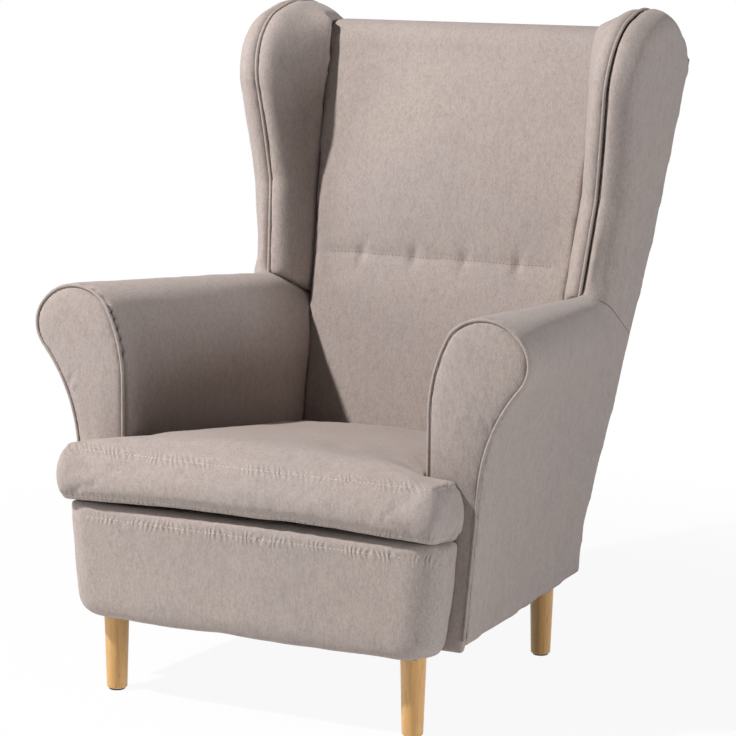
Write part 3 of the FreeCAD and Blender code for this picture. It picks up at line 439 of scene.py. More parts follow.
def plain_cloth(name, colour, scale):
    """Plain woven lining or webbing with threads both ways."""
    finish = Finish(name)
    values = {"Vector": finish.place, "Scale": scale, "Distortion": 0.6, "Detail": 1.0}
    across, along = (
        finish.number("ShaderNodeTexWave", {"wave_type": "BANDS", "bands_direction": axis}, values, 1)
        for axis in "XY"
    )
    threads = across * 0.5 + along * 0.5
    dust = finish.noise(30, 3, 0.6)
    base = finish.mix(threads * 0.5 + dust * 0.3, shaded(colour, 0.75), shaded(colour, 1.25))
    normal = finish.bump(threads, 0.0003)
    return finish.surface(Base_Color=base, Roughness=0.86 + 0.1 * dust, Normal=normal)


def beech_finish(name, colour, grain):
    """Satin lacquered beech: long fine streaks and small rays that are a little darker."""
    finish = Finish(name)
    streaks = finish.noise(1, 5, 0.62, finish.stretched((210, 210, 5)))
    broad = finish.noise(1, 3, 0.5, finish.stretched((34, 34, 1.6)))
    rays = finish.noise(1, 2, 0.5, finish.stretched((520, 520, 60)))
    mask = streaks.over(0.38, 0.68) * 0.55 + broad.over(0.35, 0.65) * 0.45
    base = finish.mix(mask, colour, grain)
    base = finish.mix(rays.over(0.60, 0.70) * 0.5, base, shaded(grain, 0.72))
    normal = finish.bump(streaks, 0.00012)
    finish.surface(Base_Color=base, Roughness=0.36 + 0.12 * broad, Normal=normal)
    return finish.surface(Coat_Weight=0.18, Coat_Roughness=0.22)


def timber_finish(name, colour, stretch):
    """Sawn softwood of the hidden frame."""
    finish = Finish(name)
    rings = finish.noise(1, 4, 0.6, finish.stretched(stretch))
    fuzz = finish.noise(260, 3, 0.6)
    base = finish.mix(rings.over(0.40, 0.62), colour, shaded(colour, 0.68))
    base = finish.mix(fuzz * 0.3, base, shaded(colour, 0.85))
    return finish.surface(Base_Color=base, Roughness=0.66 + 0.2 * fuzz, Normal=finish.bump(fuzz, 0.0003))


def plywood_finish(name, colour):
    """Plywood: pale faces and layers that show at the edges."""
    finish = Finish(name)
    _, _, z = finish.axes()
    layers = (z * 4200).math("SINE") * 0.5 + 0.5
    figure = finish.noise(1, 4, 0.6, finish.stretched((60, 8, 60)))
    base = finish.mix(figure.over(0.4, 0.65) * 0.7, colour, shaded(colour, 0.74))
    base = finish.mix(layers * 0.25, base, shaded(colour, 0.6))
    return finish.surface(Base_Color=base, Roughness=0.62 + 0.18 * figure, Normal=finish.bump(figure, 0.0002))


def metal_finish(name, colour, rough):
    """Plated or drawn steel with a slightly uneven polish."""
    finish = Finish(name)
    haze = finish.noise(160, 3, 0.6)
    lines = finish.noise(1, 3, 0.6, finish.stretched((90, 1200, 1200)))
    base = finish.mix(haze * 0.4, colour, shaded(colour, 0.72))
    finish.surface(Base_Color=base, Roughness=rough + 0.18 * haze, Normal=finish.bump(lines, 0.00004))
    return finish.surface(Metallic=1.0)


def plastic_finish(name, colour):
    """Moulded plastic with a fine texture and scuffs."""
    finish = Finish(name)
    grain = finish.noise(1100, 2, 0.5)
    scuff = finish.noise(55, 4, 0.7)
    base = finish.mix(scuff.over(0.5, 0.75) * 0.5, colour, shaded(colour, 1.7))
    return finish.surface(Base_Color=base, Roughness=0.42 + 0.25 * scuff, Normal=finish.bump(grain, 0.0001))


def thread_finish(name, colour):
    """Twisted sewing thread."""
    finish = Finish(name)
    twist = finish.noise(2400, 1, 0.5)
    base = finish.mix(twist, shaded(colour, 0.8), shaded(colour, 1.12))
    return finish.surface(Base_Color=base, Roughness=0.6 + 0.2 * twist, Normal=finish.bump(twist, 0.0001))


finishes = {}


def make_finishes():
    """All materials of the chair, by a short name."""
    fabric = bpy.context.scene.armchair_fabric
    wood = bpy.context.scene.armchair_wood
    fleck = tuple(fabric.fleck)
    cloth = (tuple(fabric.colour), fleck, fabric.nap)
    cushion_rows = (DECK_TOP + UPPER_ROW, DECK_TOP + 11)
    finishes.update({
        # The side seam of this cloth carries painted shade in its groove.
        "cloth": cloth_finish("taupe_velour", *cloth, (side_seam_groove_and_shade,)),
        "cushion_cloth": cloth_finish("taupe_velour_cushion", *cloth, (), cushion_rows),
        "apron_cloth": cloth_finish("taupe_velour_apron", *cloth, (), (APRON_ROW,)),
        # Painted shade: thread for the back channel darkened to 0.62 of the fleck colour, as shade in the sewn
        # channel.
        "seam_shadow": thread_finish("seam_thread", shaded(fleck, 0.62)),
        "thread": thread_finish("topstitch_thread", tuple(fabric.thread)),
        "lining": plain_cloth("black_lining", tuple(fabric.lining), 420),
        "deck": plain_cloth("deck_lining", shaded(fleck, 0.8), 300),
        "webbing": plain_cloth("elastic_webbing", (0.33, 0.27, 0.18), 120),
        "beech": beech_finish("lacquered_beech", tuple(wood.beech), tuple(wood.grain)),
        "timber_across": timber_finish("sawn_rail", (0.56, 0.38, 0.20), (9, 120, 120)),
        "timber_up": timber_finish("sawn_post", (0.54, 0.36, 0.19), (120, 120, 9)),
        "timber_deep": timber_finish("sawn_side_rail", (0.55, 0.37, 0.20), (120, 9, 120)),
        "plywood": plywood_finish("birch_plywood", (0.58, 0.42, 0.24)),
        "steel": metal_finish("zinc_plated_steel", (0.56, 0.57, 0.58), 0.28),
        "spring": metal_finish("spring_steel", (0.20, 0.20, 0.21), 0.34),
        "zip_metal": metal_finish("zip_nickel", (0.62, 0.60, 0.56), 0.22),
        "plastic": plastic_finish("glide_plastic", (0.030, 0.030, 0.032)),
        "zip_tape": plain_cloth("zip_tape", shaded(fleck, 0.9), 500),
        "zip_teeth": plastic_finish("zip_teeth", (0.16, 0.14, 0.125)),
    })


def pairs(*names):
    """Names of nodes that stand on both sides."""
    return [f"{name}_{side}" for name in names for side in SIDES]


CAD_FINISHES = {
    "beech": pairs("leg_front", "leg_rear"),
    "plastic": ["leg_glides"],
    "steel": ["hanger_bolts", "leg_tee_nuts", "plate_screws", "spring_clips", "dust_cover_staples"],
    "spring": ["seat_springs"],
    "timber_across": ["seat_front_rail", "seat_rear_rail", "back_top_rail", "back_lower_rail"],
    "timber_deep": pairs("seat_side_rail", "arm_top_rail"),
    "timber_up": pairs("back_post"),
    "plywood": ["leg_plates", *pairs("arm_front_board", "wing_board")],
    "zip_metal": ["zip_slider"],
}


# ---------------------------------------------------------------- mesh tools


def new_piece(name, mesh):
    """An object in the scene, with smooth faces."""
    piece = bpy.data.objects.new(name, mesh)
    bpy.context.scene.collection.objects.link(piece)
    mesh.shade_smooth()
    return piece


def bake(piece):
    """Turn the piece's modifiers into its mesh."""
    bpy.context.view_layer.update()
    evaluated = piece.evaluated_get(bpy.context.evaluated_depsgraph_get())
    mesh = bpy.data.meshes.new_from_object(evaluated)
    piece.modifiers.clear()
    old = piece.data
    piece.data = mesh
    bpy.data.meshes.remove(old)
    mesh.name = piece.name
    mesh.shade_smooth()
    return piece


def mesh_of(build, name):
    """New mesh from a build, which ends there."""
    mesh = bpy.data.meshes.new(name)
    build.to_mesh(mesh)
    build.free()
    return mesh


def rework(mesh, work):
    """Run some bmesh work on a mesh."""
    build = bmesh.new()
    build.from_mesh(mesh)
    work(build)
    build.to_mesh(mesh)
    build.free()


def merged_copy(name, nodes, rear=None):
    """Copy of some CAD nodes in one mesh, with its corners joined, and cut off behind a depth."""
    build = bmesh.new()
    for node in nodes:
        build.from_mesh(frame["nodes"][node].data)
    bmesh.ops.remove_doubles(build, verts=build.verts, dist=0.00002)
    if rear is not None:
        everything = list(build.verts) + list(build.edges) + list(build.faces)
        cut = bmesh.ops.bisect_plane(
            build, geom=everything, plane_co=(0, rear, 0), plane_no=(0, 1, 0), clear_outer=True
        )
        rim = [item for item in cut["geom_cut"] if isinstance(item, bmesh.types.BMEdge)]
        bmesh.ops.holes_fill(build, edges=rim)
        add_filling(build)
    return new_piece(name, mesh_of(build, name))


def add_filling(build):
    """Put a closed block inside a form, so that hollows behind thin covers don't open its skin."""
    block = bmesh.new()
    corners = np.array([tuple(vertex.co) for vertex in build.verts])
    middle = (corners.min(0) + corners.max(0)) / 2
    half = (corners.max(0) - corners.min(0)) / 2
    for corner in corners:
        block.verts.new(middle + (corner - middle) * (1 - 0.0045 / half))
    hull = bmesh.ops.convex_hull(block, input=block.verts)
    loose = set(hull["geom_interior"]) | set(hull["geom_unused"])
    spare = [item for item in loose if isinstance(item, bmesh.types.BMVert)]
    bmesh.ops.delete(block, geom=spare, context="VERTS")
    mesh = mesh_of(block, "filling")
    build.from_mesh(mesh)
    bpy.data.meshes.remove(mesh)


def positions(mesh):
    """Corner points of a mesh as rows."""
    values = np.empty(len(mesh.vertices) * 3, np.float32)
    mesh.vertices.foreach_get("co", values)
    return values.reshape(-1, 3).astype(float)


def set_positions(mesh, points):
    """Write corner points back."""
    mesh.vertices.foreach_set("co", points.astype(np.float32).ravel())
    mesh.update()


def directions(mesh):
    """Normals at the corner points as rows."""
    values = np.empty(len(mesh.vertices) * 3, np.float32)
    mesh.vertex_normals.foreach_get("vector", values)
    return values.reshape(-1, 3).astype(float)


def relax(mesh, rounds, share=None):
    """Soften a mesh by moving each point towards its neighbours; share limits it by point."""
    points = positions(mesh)
    edges = np.empty(len(mesh.edges) * 2, np.int32)
    mesh.edges.foreach_get("vertices", edges)
    start, end = edges.reshape(-1, 2).T
    count = np.bincount(edges, minlength=len(points))[:, None]
    weight = 0.5 if share is None else 0.5 * share[:, None]
    for _ in range(rounds):
        total = np.stack([
            np.bincount(start, points[end, axis], len(points)) + np.bincount(end, points[start, axis], len(points))
            for axis in range(3)
        ], axis=1)
        points += weight * (total / count - points)
    set_positions(mesh, points)


def soft_skin(name, nodes, voxel, rounds, rear=None):
    """Closed padded skin round CAD nodes, with soft edges."""
    piece = merged_copy(name, nodes, rear)
    remesh = piece.modifiers.new("Skin", "REMESH")
    remesh.mode = "VOXEL"
    remesh.voxel_size = voxel
    bake(piece)
    keep_largest(piece.data)
    ahead = ahead_of_rear(positions(piece.data))
    relax(piece.data, 2)
    relax(piece.data, rounds - 2, smooth_step(ahead, 2, 14))
    square_rear(piece.data)
    return piece


def square_rear(mesh):
    """Bring the points that face the rear back to the plane of the rear edge."""
    points = positions(mesh)
    ahead = ahead_of_rear(points)
    share = (1 - smooth_step(ahead, 5, 9)) * smooth_step(directions(mesh)[:, 1], 0.35, 0.75)
    points[:, 1] += share * (ahead - 0.4) * MM
    set_positions(mesh, points)


def keep_largest(mesh):
    """Drop crumbs that a remesh leaves beside the main skin."""
    build = bmesh.new()
    build.from_mesh(mesh)
    build.verts.ensure_lookup_table()
    groups = []
    seen = set()
    for first in build.verts:
        if first in seen:
            continue
        seen.add(first)
        group = [first]
        for vertex in group:
            for edge in vertex.link_edges:
                other = edge.other_vert(vertex)
                if other not in seen:
                    seen.add(other)
                    group.append(other)
        groups.append(group)
    groups.sort(key=len)
    crumbs = [vertex for group in groups[:-1] for vertex in group]
    if crumbs:
        bmesh.ops.delete(build, geom=crumbs, context="VERTS")
        build.to_mesh(mesh)
    build.free()


def push(piece, amount):
    """Move the points of a piece along their normals."""
    mesh = piece.data
    set_positions(mesh, positions(mesh) + directions(mesh) * amount[:, None])


def waves(points, scale, depth, seed):
    """Smooth noise over a surface, as a distance at each point."""
    shift = Vector((seed * 3.7, seed * 1.9, seed * 5.3))
    return depth * np.array([noise.noise(Vector(point) * scale + shift) for point in points])


def creases(points, lines):
    """Depth at each point of a list of creases: start, end, width and depth in millimetres."""
    depth = np.zeros(len(points))
    for start, end, width, deep in lines:
        first = np.array(start) * MM
        run = np.array(end) * MM - first
        along = np.clip(((points - first) @ run) / (run @ run), 0, 1)
        distance = np.linalg.norm(points - first - along[:, None] * run, axis=1) / (width * MM)
        fade = np.sin(math.pi * np.clip(along * 0.9 + 0.1, 0, 1)) ** 0.5
        depth -= deep * MM * fade * (np.exp(-distance ** 2) - 0.45 * np.exp(-((distance - 1.9) ** 2)))
    return depth


def smooth_step(value, low, high):
    """0 below low, 1 above high, smooth between."""
    share = np.clip((value - low) / (high - low), 0, 1)
    return share * share * (3 - 2 * share)


def bell(value, middle, width):
    """1 at the middle, falling to both sides."""
    return np.exp(-((value - middle) / width) ** 2)


def arc(first, middle, last, count):
    """Points on the arc through three flat points, without the last."""
    (ax, ay), (bx, by), (cx, cy) = first, middle, last
    area = 2 * (ax * (by - cy) + bx * (cy - ay) + cx * (ay - by))
    if abs(area) < 1e-6:
        return [first, middle]
    ux = ((ax ** 2 + ay ** 2) * (by - cy) + (bx ** 2 + by ** 2) * (cy - ay) + (cx ** 2 + cy ** 2) * (ay - by)) / area
    uy = ((ax ** 2 + ay ** 2) * (cx - bx) + (bx ** 2 + by ** 2) * (ax - cx) + (cx ** 2 + cy ** 2) * (bx - ax)) / area
    begin = math.atan2(ay - uy, ax - ux)
    turn = (math.atan2(cy - uy, cx - ux) - begin) % (2 * math.pi)
    if (math.atan2(by - uy, bx - ux) - begin) % (2 * math.pi) > turn:
        turn -= 2 * math.pi
    radius = math.hypot(ax - ux, ay - uy)
    return [
        (ux + radius * math.cos(begin + turn * step / count), uy + radius * math.sin(begin + turn * step / count))
        for step in range(count)
    ]


def outline(points, arcs, count=14):
    """Fine line through a list of lines and arcs, as in the solids."""
    line = []
    index = 0
    number = 0
    while index < len(points) - 1:
        if number in arcs:
            line += arc(points[index], points[index + 1], points[index + 2], count)
            index += 2
        else:
            start, end = points[index], points[index + 1]
            line += [
                (start[0] + (end[0] - start[0]) * step / count, start[1] + (end[1] - start[1]) * step / count)
                for step in range(count)
            ]
            index += 1
        number += 1
    return np.array(line + [points[-1]], float)


def drawn_in(line, amount):
    """Flat line moved to its right-hand side by an amount, which is inwards on these outlines."""
    run = np.gradient(line, axis=0)
    run /= np.linalg.norm(run, axis=1)[:, None]
    return line + amount * np.stack([run[:, 1], -run[:, 0]], axis=1)


def path_piece(name, lines, closed=False):
    """Object with one edge path for each list of points."""
    points = []
    edges = []
    for line in lines:
        first = len(points)
        points += [tuple(point) for point in line]
        edges += [(number, number + 1) for number in range(first, len(points) - 1)]
        if closed:
            edges.append((len(points) - 1, first))
    mesh = bpy.data.meshes.new(name)
    mesh.from_pydata(points, edges, [])
    piece = bpy.data.objects.new(name, mesh)
    bpy.context.scene.collection.objects.link(piece)
    return piece


def grow(piece, tree, values):
    """Run a node tree on a piece with named inputs, and keep the result as its mesh."""
    modifier = piece.modifiers.new("Grow", "NODES")
    modifier.node_group = tree
    for item in tree.interface.items_tree:
        if item.item_type == "SOCKET" and item.in_out == "INPUT" and item.name in values:
            modifier[item.identifier] = values[item.name]
    return bake(piece)


def row_tree(name, primitive, settings):
    """Small bodies set in a row along a path, such as stitches or teeth."""
    tree = Tree(name, {"Pitch": 0.005, "Length": 0.004, "Width": 0.001, "Height": 0.001})
    curve = tree.part("GeometryNodeMeshToCurve", {"Mesh": tree.input["Geometry"]})
    points = tree.part(
        "GeometryNodeResampleCurve", {"Curve": curve, "Length": tree.input["Pitch"]}, {"mode": "LENGTH"}
    )
    size = tree.part("ShaderNodeCombineXYZ", {
        "X": tree.input["Length"], "Y": tree.input["Width"], "Z": tree.input["Height"],
    })
    tangent = tree.part("GeometryNodeInputTangent")
    turn = tree.part("FunctionNodeAlignRotationToVector", {"Vector": tangent}, {"axis": "X"})
    return tree.finish(tree.part("GeometryNodeInstanceOnPoints", {
        "Points": points, "Instance": tree.part(primitive, settings), "Rotation": turn, "Scale": size,
    }))


def welt_tree():
    """Covered cord along a path, with closed ends."""
    tree = Tree("piping_cord", {"Radius": 0.0025})
    curve = tree.part("GeometryNodeMeshToCurve", {"Mesh": tree.input["Geometry"]})
    curve = tree.part("GeometryNodeResampleCurve", {"Curve": curve, "Length": 0.006}, {"mode": "LENGTH"})
    ring = tree.part(
        "GeometryNodeCurvePrimitiveCircle", {"Resolution": 10, "Radius": tree.input["Radius"]}, {"mode": "RADIUS"}
    )
    return tree.finish(tree.part("GeometryNodeCurveToMesh", {
        "Curve": curve, "Profile Curve": ring, "Fill Caps": True,
    }))


trees = {}


def make_trees():
    """Node trees for stitches, zip teeth and piping."""
    trees["stitches"] = row_tree("stitch_row", "GeometryNodeMeshUVSphere", {"Segments": 6, "Rings": 4, "Radius": 0.5})
    trees["teeth"] = row_tree("zip_teeth_row", "GeometryNodeMeshCube", {"Size": (1, 1, 1)})
    trees["welt"] = welt_tree()


def dress(piece, finish="cloth", body="chair", replaced=()):
    """Give a piece its finish and its body, and hide the nodes it stands for."""
    piece.data.materials.clear()
    piece.data.materials.append(finishes[finish])
    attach(piece, body)
    if replaced:
        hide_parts(*replaced)


def piping(name, line, replaced):
    """Covered cord along a line of points."""
    piece = path_piece(name, [line])
    radius = bpy.context.scene.armchair_stitching.piping
    grow(piece, trees["welt"], {"Radius": radius, "Material": finishes["cloth"]})
    dress(piece, replaced=[replaced])


def stitch_row(name, line, finish="thread", body="chair", closed=False):
    """A row of stitches along points on a surface."""
    sizes = bpy.context.scene.armchair_stitching
    piece = path_piece(name, [line], closed)
    grow(piece, trees["stitches"], {
        "Pitch": sizes.pitch, "Length": sizes.length, "Width": sizes.thickness, "Height": sizes.thickness,
        "Material": finishes[finish],
    })
    dress(piece, finish, body=body)


def surface_of(piece):
    """Search tree of a piece's surface."""
    points = positions(piece.data)
    faces = [tuple(face.vertices) for face in piece.data.polygons]
    return BVHTree.FromPolygons([tuple(point) for point in points], faces)


def ring_on(surface, frame_matrix, plan, height, sink):
    """Points on a surface at a height in a tilted frame, found from outside along the plan's outward side."""
    inverse = frame_matrix.inverted()
    line = []
    count = len(plan)
    for number in range(count):
        x, y = plan[number]
        before = plan[number - 1]
        after = plan[(number + 1) % count]
        run = Vector((after[0] - before[0], after[1] - before[1], 0)).normalized()
        outward = Vector((run.y, -run.x, 0))
        level = height(x, y)
        start = frame_matrix @ (Vector((x, y, level)) + outward * 0.08)
        turned = (frame_matrix.to_3x3() @ outward).normalized()
        hit, _, _, _ = surface.ray_cast(start, -turned, 0.25)
        if hit is not None:
            point = hit - turned * sink
            if abs((inverse @ point).z - level) < 0.004:
                line.append(point)
    return line


def smooth_line(line, rounds=3, closed=False):
    """Even out a line of points."""
    points = np.array([tuple(point) for point in line])
    for _ in range(rounds):
        moved = (np.roll(points, 1, 0) + np.roll(points, -1, 0)) / 2
        if not closed:
            moved[0], moved[-1] = points[0], points[-1]
        points = 0.5 * points + 0.5 * moved
    return points


# ---------------------------------------------------------------- lines of the chair


def in_frame(points, matrix):
    """Points in a local frame, in millimetres."""
    inverse = np.array(matrix.inverted())
    return (points @ inverse[:3, :3].T + inverse[:3, 3]) / MM


def rear_edge(z):
    """Rear edge of the sides at a height, in millimetres."""
    raked = np.clip(z, REAR_KINK, REAR_BEND) - REAR_KINK
    return REAR_FOOT + BACK_RAKE * raked + UPPER_RAKE * np.maximum(0, z - REAR_BEND)


def half_width(z):
    """Half width of the chair's rear at a height, in millimetres."""
    lean = math.tan(SIDE_LEAN) * (z - FRAME_BOTTOM)
    return HALF_WIDTH + lean - math.tan(SIDE_TAPER) * (rear_edge(z) - ARM_FRONT)


def ahead_of_rear(points):
    """How far points lie ahead of the rear edge, in millimetres."""
    return rear_edge(points[:, 2] / MM) - points[:, 1] / MM


def ahead_of_back(points):
    """How far points lie ahead of the line that the inside back leans on, in millimetres."""
    foot, foot_height, slope = BACK_LINE
    return foot + slope * (points[:, 2] / MM - foot_height) - points[:, 1] / MM


def over_wing_foot(points):
    """How far points lie above the joint between arm and wing, in millimetres."""
    start_y, start_z = WING_START
    return points[:, 2] / MM - start_z + WING_FOOT_SLOPE * (points[:, 1] / MM - start_y)


def channel_ripple(x):
    """How far the channel of the back strays from level, in millimetres."""
    return 0.6 * np.sin(x / 31.0) + 0.36 * np.sin(x / 13.0 + 1.0)


# ---------------------------------------------------------------- simulation


def fill_out(piece, hold):
    """Let the filling press the cloth out a little where it isn't held, and keep the result as the mesh."""
    padding = bpy.context.scene.armchair_padding
    if padding.pressure == 0:
        return
    mesh = piece.data
    before = positions(mesh)
    cloth = piece.modifiers.new("Cloth", "CLOTH")
    settings = cloth.settings
    settings.quality = 4
    settings.mass = 0.35
    settings.tension_stiffness = settings.compression_stiffness = 22
    settings.shear_stiffness = 12
    settings.bending_stiffness = 1.2
    settings.use_pressure = True
    settings.uniform_pressure_force = padding.pressure
    settings.effector_weights.gravity = 0
    group = piece.vertex_groups.new(name="held")
    for index in np.nonzero(hold > 0.02)[0]:
        group.add([int(index)], float(hold[index]), "REPLACE")
    settings.vertex_group_mass = "held"
    scene = bpy.context.scene
    cloth.point_cache.frame_start = 1
    cloth.point_cache.frame_end = padding.frames
    for number in range(1, padding.frames + 1):
        scene.frame_set(number)
    bpy.context.view_layer.update()
    evaluated = piece.evaluated_get(bpy.context.evaluated_depsgraph_get())
    swollen = bpy.data.meshes.new_from_object(evaluated)
    after = positions(swollen)
    bpy.data.meshes.remove(swollen)
    piece.modifiers.clear()
    piece.vertex_groups.clear()
    scene.frame_set(1)
    move = after - before
    far = np.linalg.norm(move, axis=1)
    limit = padding.swell * np.tanh(far / padding.swell)
    move *= (limit / np.maximum(far, 1e-9))[:, None]
    set_positions(mesh, before + move)


# ---------------------------------------------------------------- pieces

# Creases: start, end, width and depth, in millimetres, on the right-hand side of the chair
SIDE_CREASES = [
    ((330, 128, 561), (352, 102, 536), 7, 1.1),
    ((338, 110, 556), (372, 50, 512), 11, 1.3),
    ((346, 50, 560), (385, -30, 524), 12, 1.0),
    ((350, 10, 560), (388, -80, 500), 16, 0.9),
    ((334, 162, 552), (347, 110, 470), 14, 0.8),
    ((338, 140, 520), (352, 70, 430), 18, 0.7),
    ((356, -70, 470), (344, -150, 330), 26, 0.8),
    ((346, 30, 440), (336, -30, 280), 28, 0.7),
    ((344, 100, 470), (332, 60, 320), 24, 0.6),
    ((318, -210, 180), (326, -240, 290), 22, 0.7),
    ((300, 50, 170), (310, 20, 260), 24, 0.6),
    ((360, -336, 452), (352, -310, 380), 10, 1.2),
]
PANEL_CREASES = [
    ((349, -348, 446), (337, -351, 474), 4.5, 1.7),
    ((345, -348, 440), (330, -351, 446), 6, 0.9),
    ((262, -348, 540), (276, -351, 524), 7, 0.7),
    ((322, -350, 230), (300, -351, 262), 12, 0.8),
]
CUSHION_FOLDS = [
    ((60, -446, 332), (52, -450, 306), 7, 0.9),
    ((38, -448, 330), (34, -451, 300), 8, 0.9),
    ((95, -446, 326), (90, -450, 304), 7, 0.7),
    ((10, -448, 334), (12, -451, 300), 9, 0.6),
    ((130, -446, 330), (124, -449, 306), 8, 0.6),
    ((-60, -446, 316), (-58, -450, 300), 8, 0.6),
    ((-170, -440, 376), (-60, -310, 402), 26, 1.0),
    ((150, -390, 392), (60, -250, 396), 24, 0.9),
    ((292, -440, 362), (304, -434, 316), 8, 1.0),
]

# Size in metres of the faces of the skins that are finer or coarser than the rest
PANEL_VOXEL = 0.0034
APRON_VOXEL = 0.0045
CUSHION_VOXEL = 0.0046
DECK_VOXEL = 0.006

# How deep a stitch sits in the cloth, in metres, and how many points a whole row has at least
STITCH_SINK = 0.0001
APRON_ROW_POINTS = 40
CUSHION_ROW_POINTS = 200

# What the sewn channel and its tucks draw in on the inside back, in millimetres
CHANNEL_DEPTH = 1.5
CHANNEL_WIDTH = 6.5
TUCK_DEPTH = 3.0
TUCK_WIDTH = 7.5
TUCK_HEIGHT = 21

# Cushion, in millimetres: how far the lower row bows up, and where its border swells most
CUSHION_BOW = 8
SWELL_MIDDLE = 43
SWELL_REACH = 46


class ARMCHAIR_OT_sides(bpy.types.Operator):
    """Arms and the outer side of the wings, one skin on each side"""

    bl_idname = "armchair.sides"
    bl_label = "Arms and outer wings"

    def execute(self, context):
        voxel = context.scene.armchair_padding.voxel
        for side, sign in SIDES.items():
            replaced = [
                f"{name}_{side}" for name in ("arm_cover", "arm_pad", "wing_outer_cover", "wing_outer_pad")
            ]
            boards = [f"arm_front_board_{side}", f"wing_board_{side}"]
            piece = soft_skin(f"arm_and_wing_{side}", replaced + boards, voxel, 3)
            self.shape(piece, sign)
            dress(piece, replaced=replaced)
        return {"FINISHED"}

    def shape(self, piece, sign):
        """Soft neck where the wing grows out of the arm, then creases, a loose hem and a full rear corner."""
        mesh = piece.data
        points = positions(mesh)
        local = in_frame(points * (sign, 1, 1), side_frame)
        inside = smooth_step(-local[:, 0], 30, 60)
        neck = bell(over_wing_foot(points), 0, 26) * smooth_step(points[:, 1], 0.01, 0.09)
        relax(mesh, 14, np.clip(neck * (1 - 0.4 * inside), 0, 1))
        points = positions(mesh)
        local = in_frame(points * (sign, 1, 1), side_frame)
        gap = bell(-local[:, 0], SEAM_IN - 1, 4.5) * (over_wing_foot(points) > 4)
        hem = bell(points[:, 2] / MM, SIDE_BOTTOM, 14)
        amount = 0.8 * MM - 0.9 * MM * gap
        amount += waves(points, 9, 1.6 * MM, 1 + sign) + waves(points, 24, 0.7 * MM, 4 + sign)
        amount += creases(points * (sign, 1, 1), SIDE_CREASES)
        amount += hem * waves(points, 30, 1.6 * MM, 9)
        amount *= 0.25 + 0.75 * smooth_step(ahead_of_rear(points), 4, 40)
        push(piece, amount)
        points = positions(mesh)
        points[:, 2] += hem * (waves(points, 14, 2.4 * MM, 12) - 2.2 * MM)
        level = points[:, 2] / MM
        leading = 1 - smooth_step(local[:, 1] - (level - FRAME_BOTTOM) * 0.01, 478, 560)
        outer = 1 - smooth_step(-local[:, 0], 12, 40)
        above = smooth_step(over_wing_foot(points), -6, 40)
        points[:, 0] -= sign * 13 * MM * bell(level, 625, 78) * leading * outer * above
        corner = np.add(WING_START, WING_CURVE[-1])
        far = np.linalg.norm(points[:, 1:] / MM - corner, axis=1)
        points[:, 1:] += 8.5 * MM * bell(far, 0, 17)[:, None] * (0.85, 0.5)
        set_positions(mesh, points)


class ARMCHAIR_OT_arm_fronts(bpy.types.Operator):
    """Padded panels on the arm fronts and the piping round them"""

    bl_idname = "armchair.arm_fronts"
    bl_label = "Arm fronts"

    def execute(self, context):
        edge = drawn_in(outline(ARM_OUTLINE, ARM_ARCS), 2.4)
        edge = edge[edge[:, 1] > FRAME_BOTTOM + 1]
        for side, sign in SIDES.items():
            panel = soft_skin(f"arm_front_{side}", [f"arm_front_panel_{side}"], PANEL_VOXEL, 3)
            self.shape(panel, sign)
            dress(panel, replaced=[f"arm_front_panel_{side}"])
            line = [Vector((sign * x, ARM_FRONT + 1.2, z)) * MM for x, z in edge]
            piping(f"arm_piping_cord_{side}", line, f"arm_piping_{side}")
        return {"FINISHED"}

    def shape(self, panel, sign):
        """Swell the panel between its edges, crease it, and bring its sides up to the piping."""
        mesh = panel.data
        points = positions(mesh)
        flat = points[:, [0, 2]] / MM * (sign, 1)
        rim = drawn_in(outline(ARM_OUTLINE, ARM_ARCS), 6.5)
        far = np.full(len(points), 1e9)
        for start, end in zip(rim[:-1], rim[1:]):
            run = end - start
            along = np.clip(((flat - start) @ run) / max(run @ run, 1e-9), 0, 1)
            far = np.minimum(far, np.linalg.norm(flat - start - along[:, None] * run, axis=1))
        front = np.clip(-directions(mesh)[:, 1], 0, 1)
        swell = 4.6 * MM * (1 - np.exp(-far / 20)) + waves(points, 14, 1.1 * MM, 21 + sign)
        grown = 1.8 + 1.4 * smooth_step(sign * points[:, 0], 0.29, 0.33)
        push(panel, grown * MM * (1 - front) * smooth_step(points[:, 1] / MM, ARM_FRONT - 2, ARM_FRONT + 2))
        points = positions(mesh)
        points[:, 1] -= front * (swell + creases(points * (sign, 1, 1), PANEL_CREASES))
        points[:, 2] -= 6.5 * MM * (1 - smooth_step(points[:, 2] / MM, SIDE_BOTTOM, SIDE_BOTTOM + 22))
        set_positions(mesh, points)


class ARMCHAIR_OT_wings(bpy.types.Operator):
    """Inner pads of the wings and the piping in their seams"""

    bl_idname = "armchair.wings"
    bl_label = "Wing pads"

    def execute(self, context):
        start_y, start_z = WING_START
        profile = outline([(start_y + y, start_z + z) for y, z in WING_CURVE], WING_ARCS)
        profile = drawn_in(profile, 1.3)
        for side, sign in SIDES.items():
            nodes = [f"wing_inner_cover_{side}", f"wing_inner_pad_{side}"]
            pad = soft_skin(f"wing_pad_{side}", nodes, context.scene.armchair_padding.voxel, 3)
            relax(pad.data, 16, 1 - smooth_step(ahead_of_back(positions(pad.data)), 4, 26))
            points = positions(pad.data)
            push(pad, waves(points, 12, 1.6 * MM, 31 + sign) + waves(points, 30, 0.6 * MM, 35 + sign))
            dress(pad, replaced=nodes)
            line = []
            for y, z in profile:
                up = (z - FRAME_BOTTOM) / math.cos(SIDE_LEAN)
                depth = (y - ARM_FRONT - up * math.sin(SIDE_LEAN) * math.sin(SIDE_TAPER)) / math.cos(SIDE_TAPER)
                point = side_frame @ (Vector((-SEAM_IN - 2.0, depth, up)) * MM)
                line.append(Vector((sign * point.x, point.y, point.z)))
            foot = line[0] + (line[0] - line[1]).normalized() * 0.008
            piping(f"wing_piping_cord_{side}", [foot] + line, f"wing_piping_{side}")
        return {"FINISHED"}


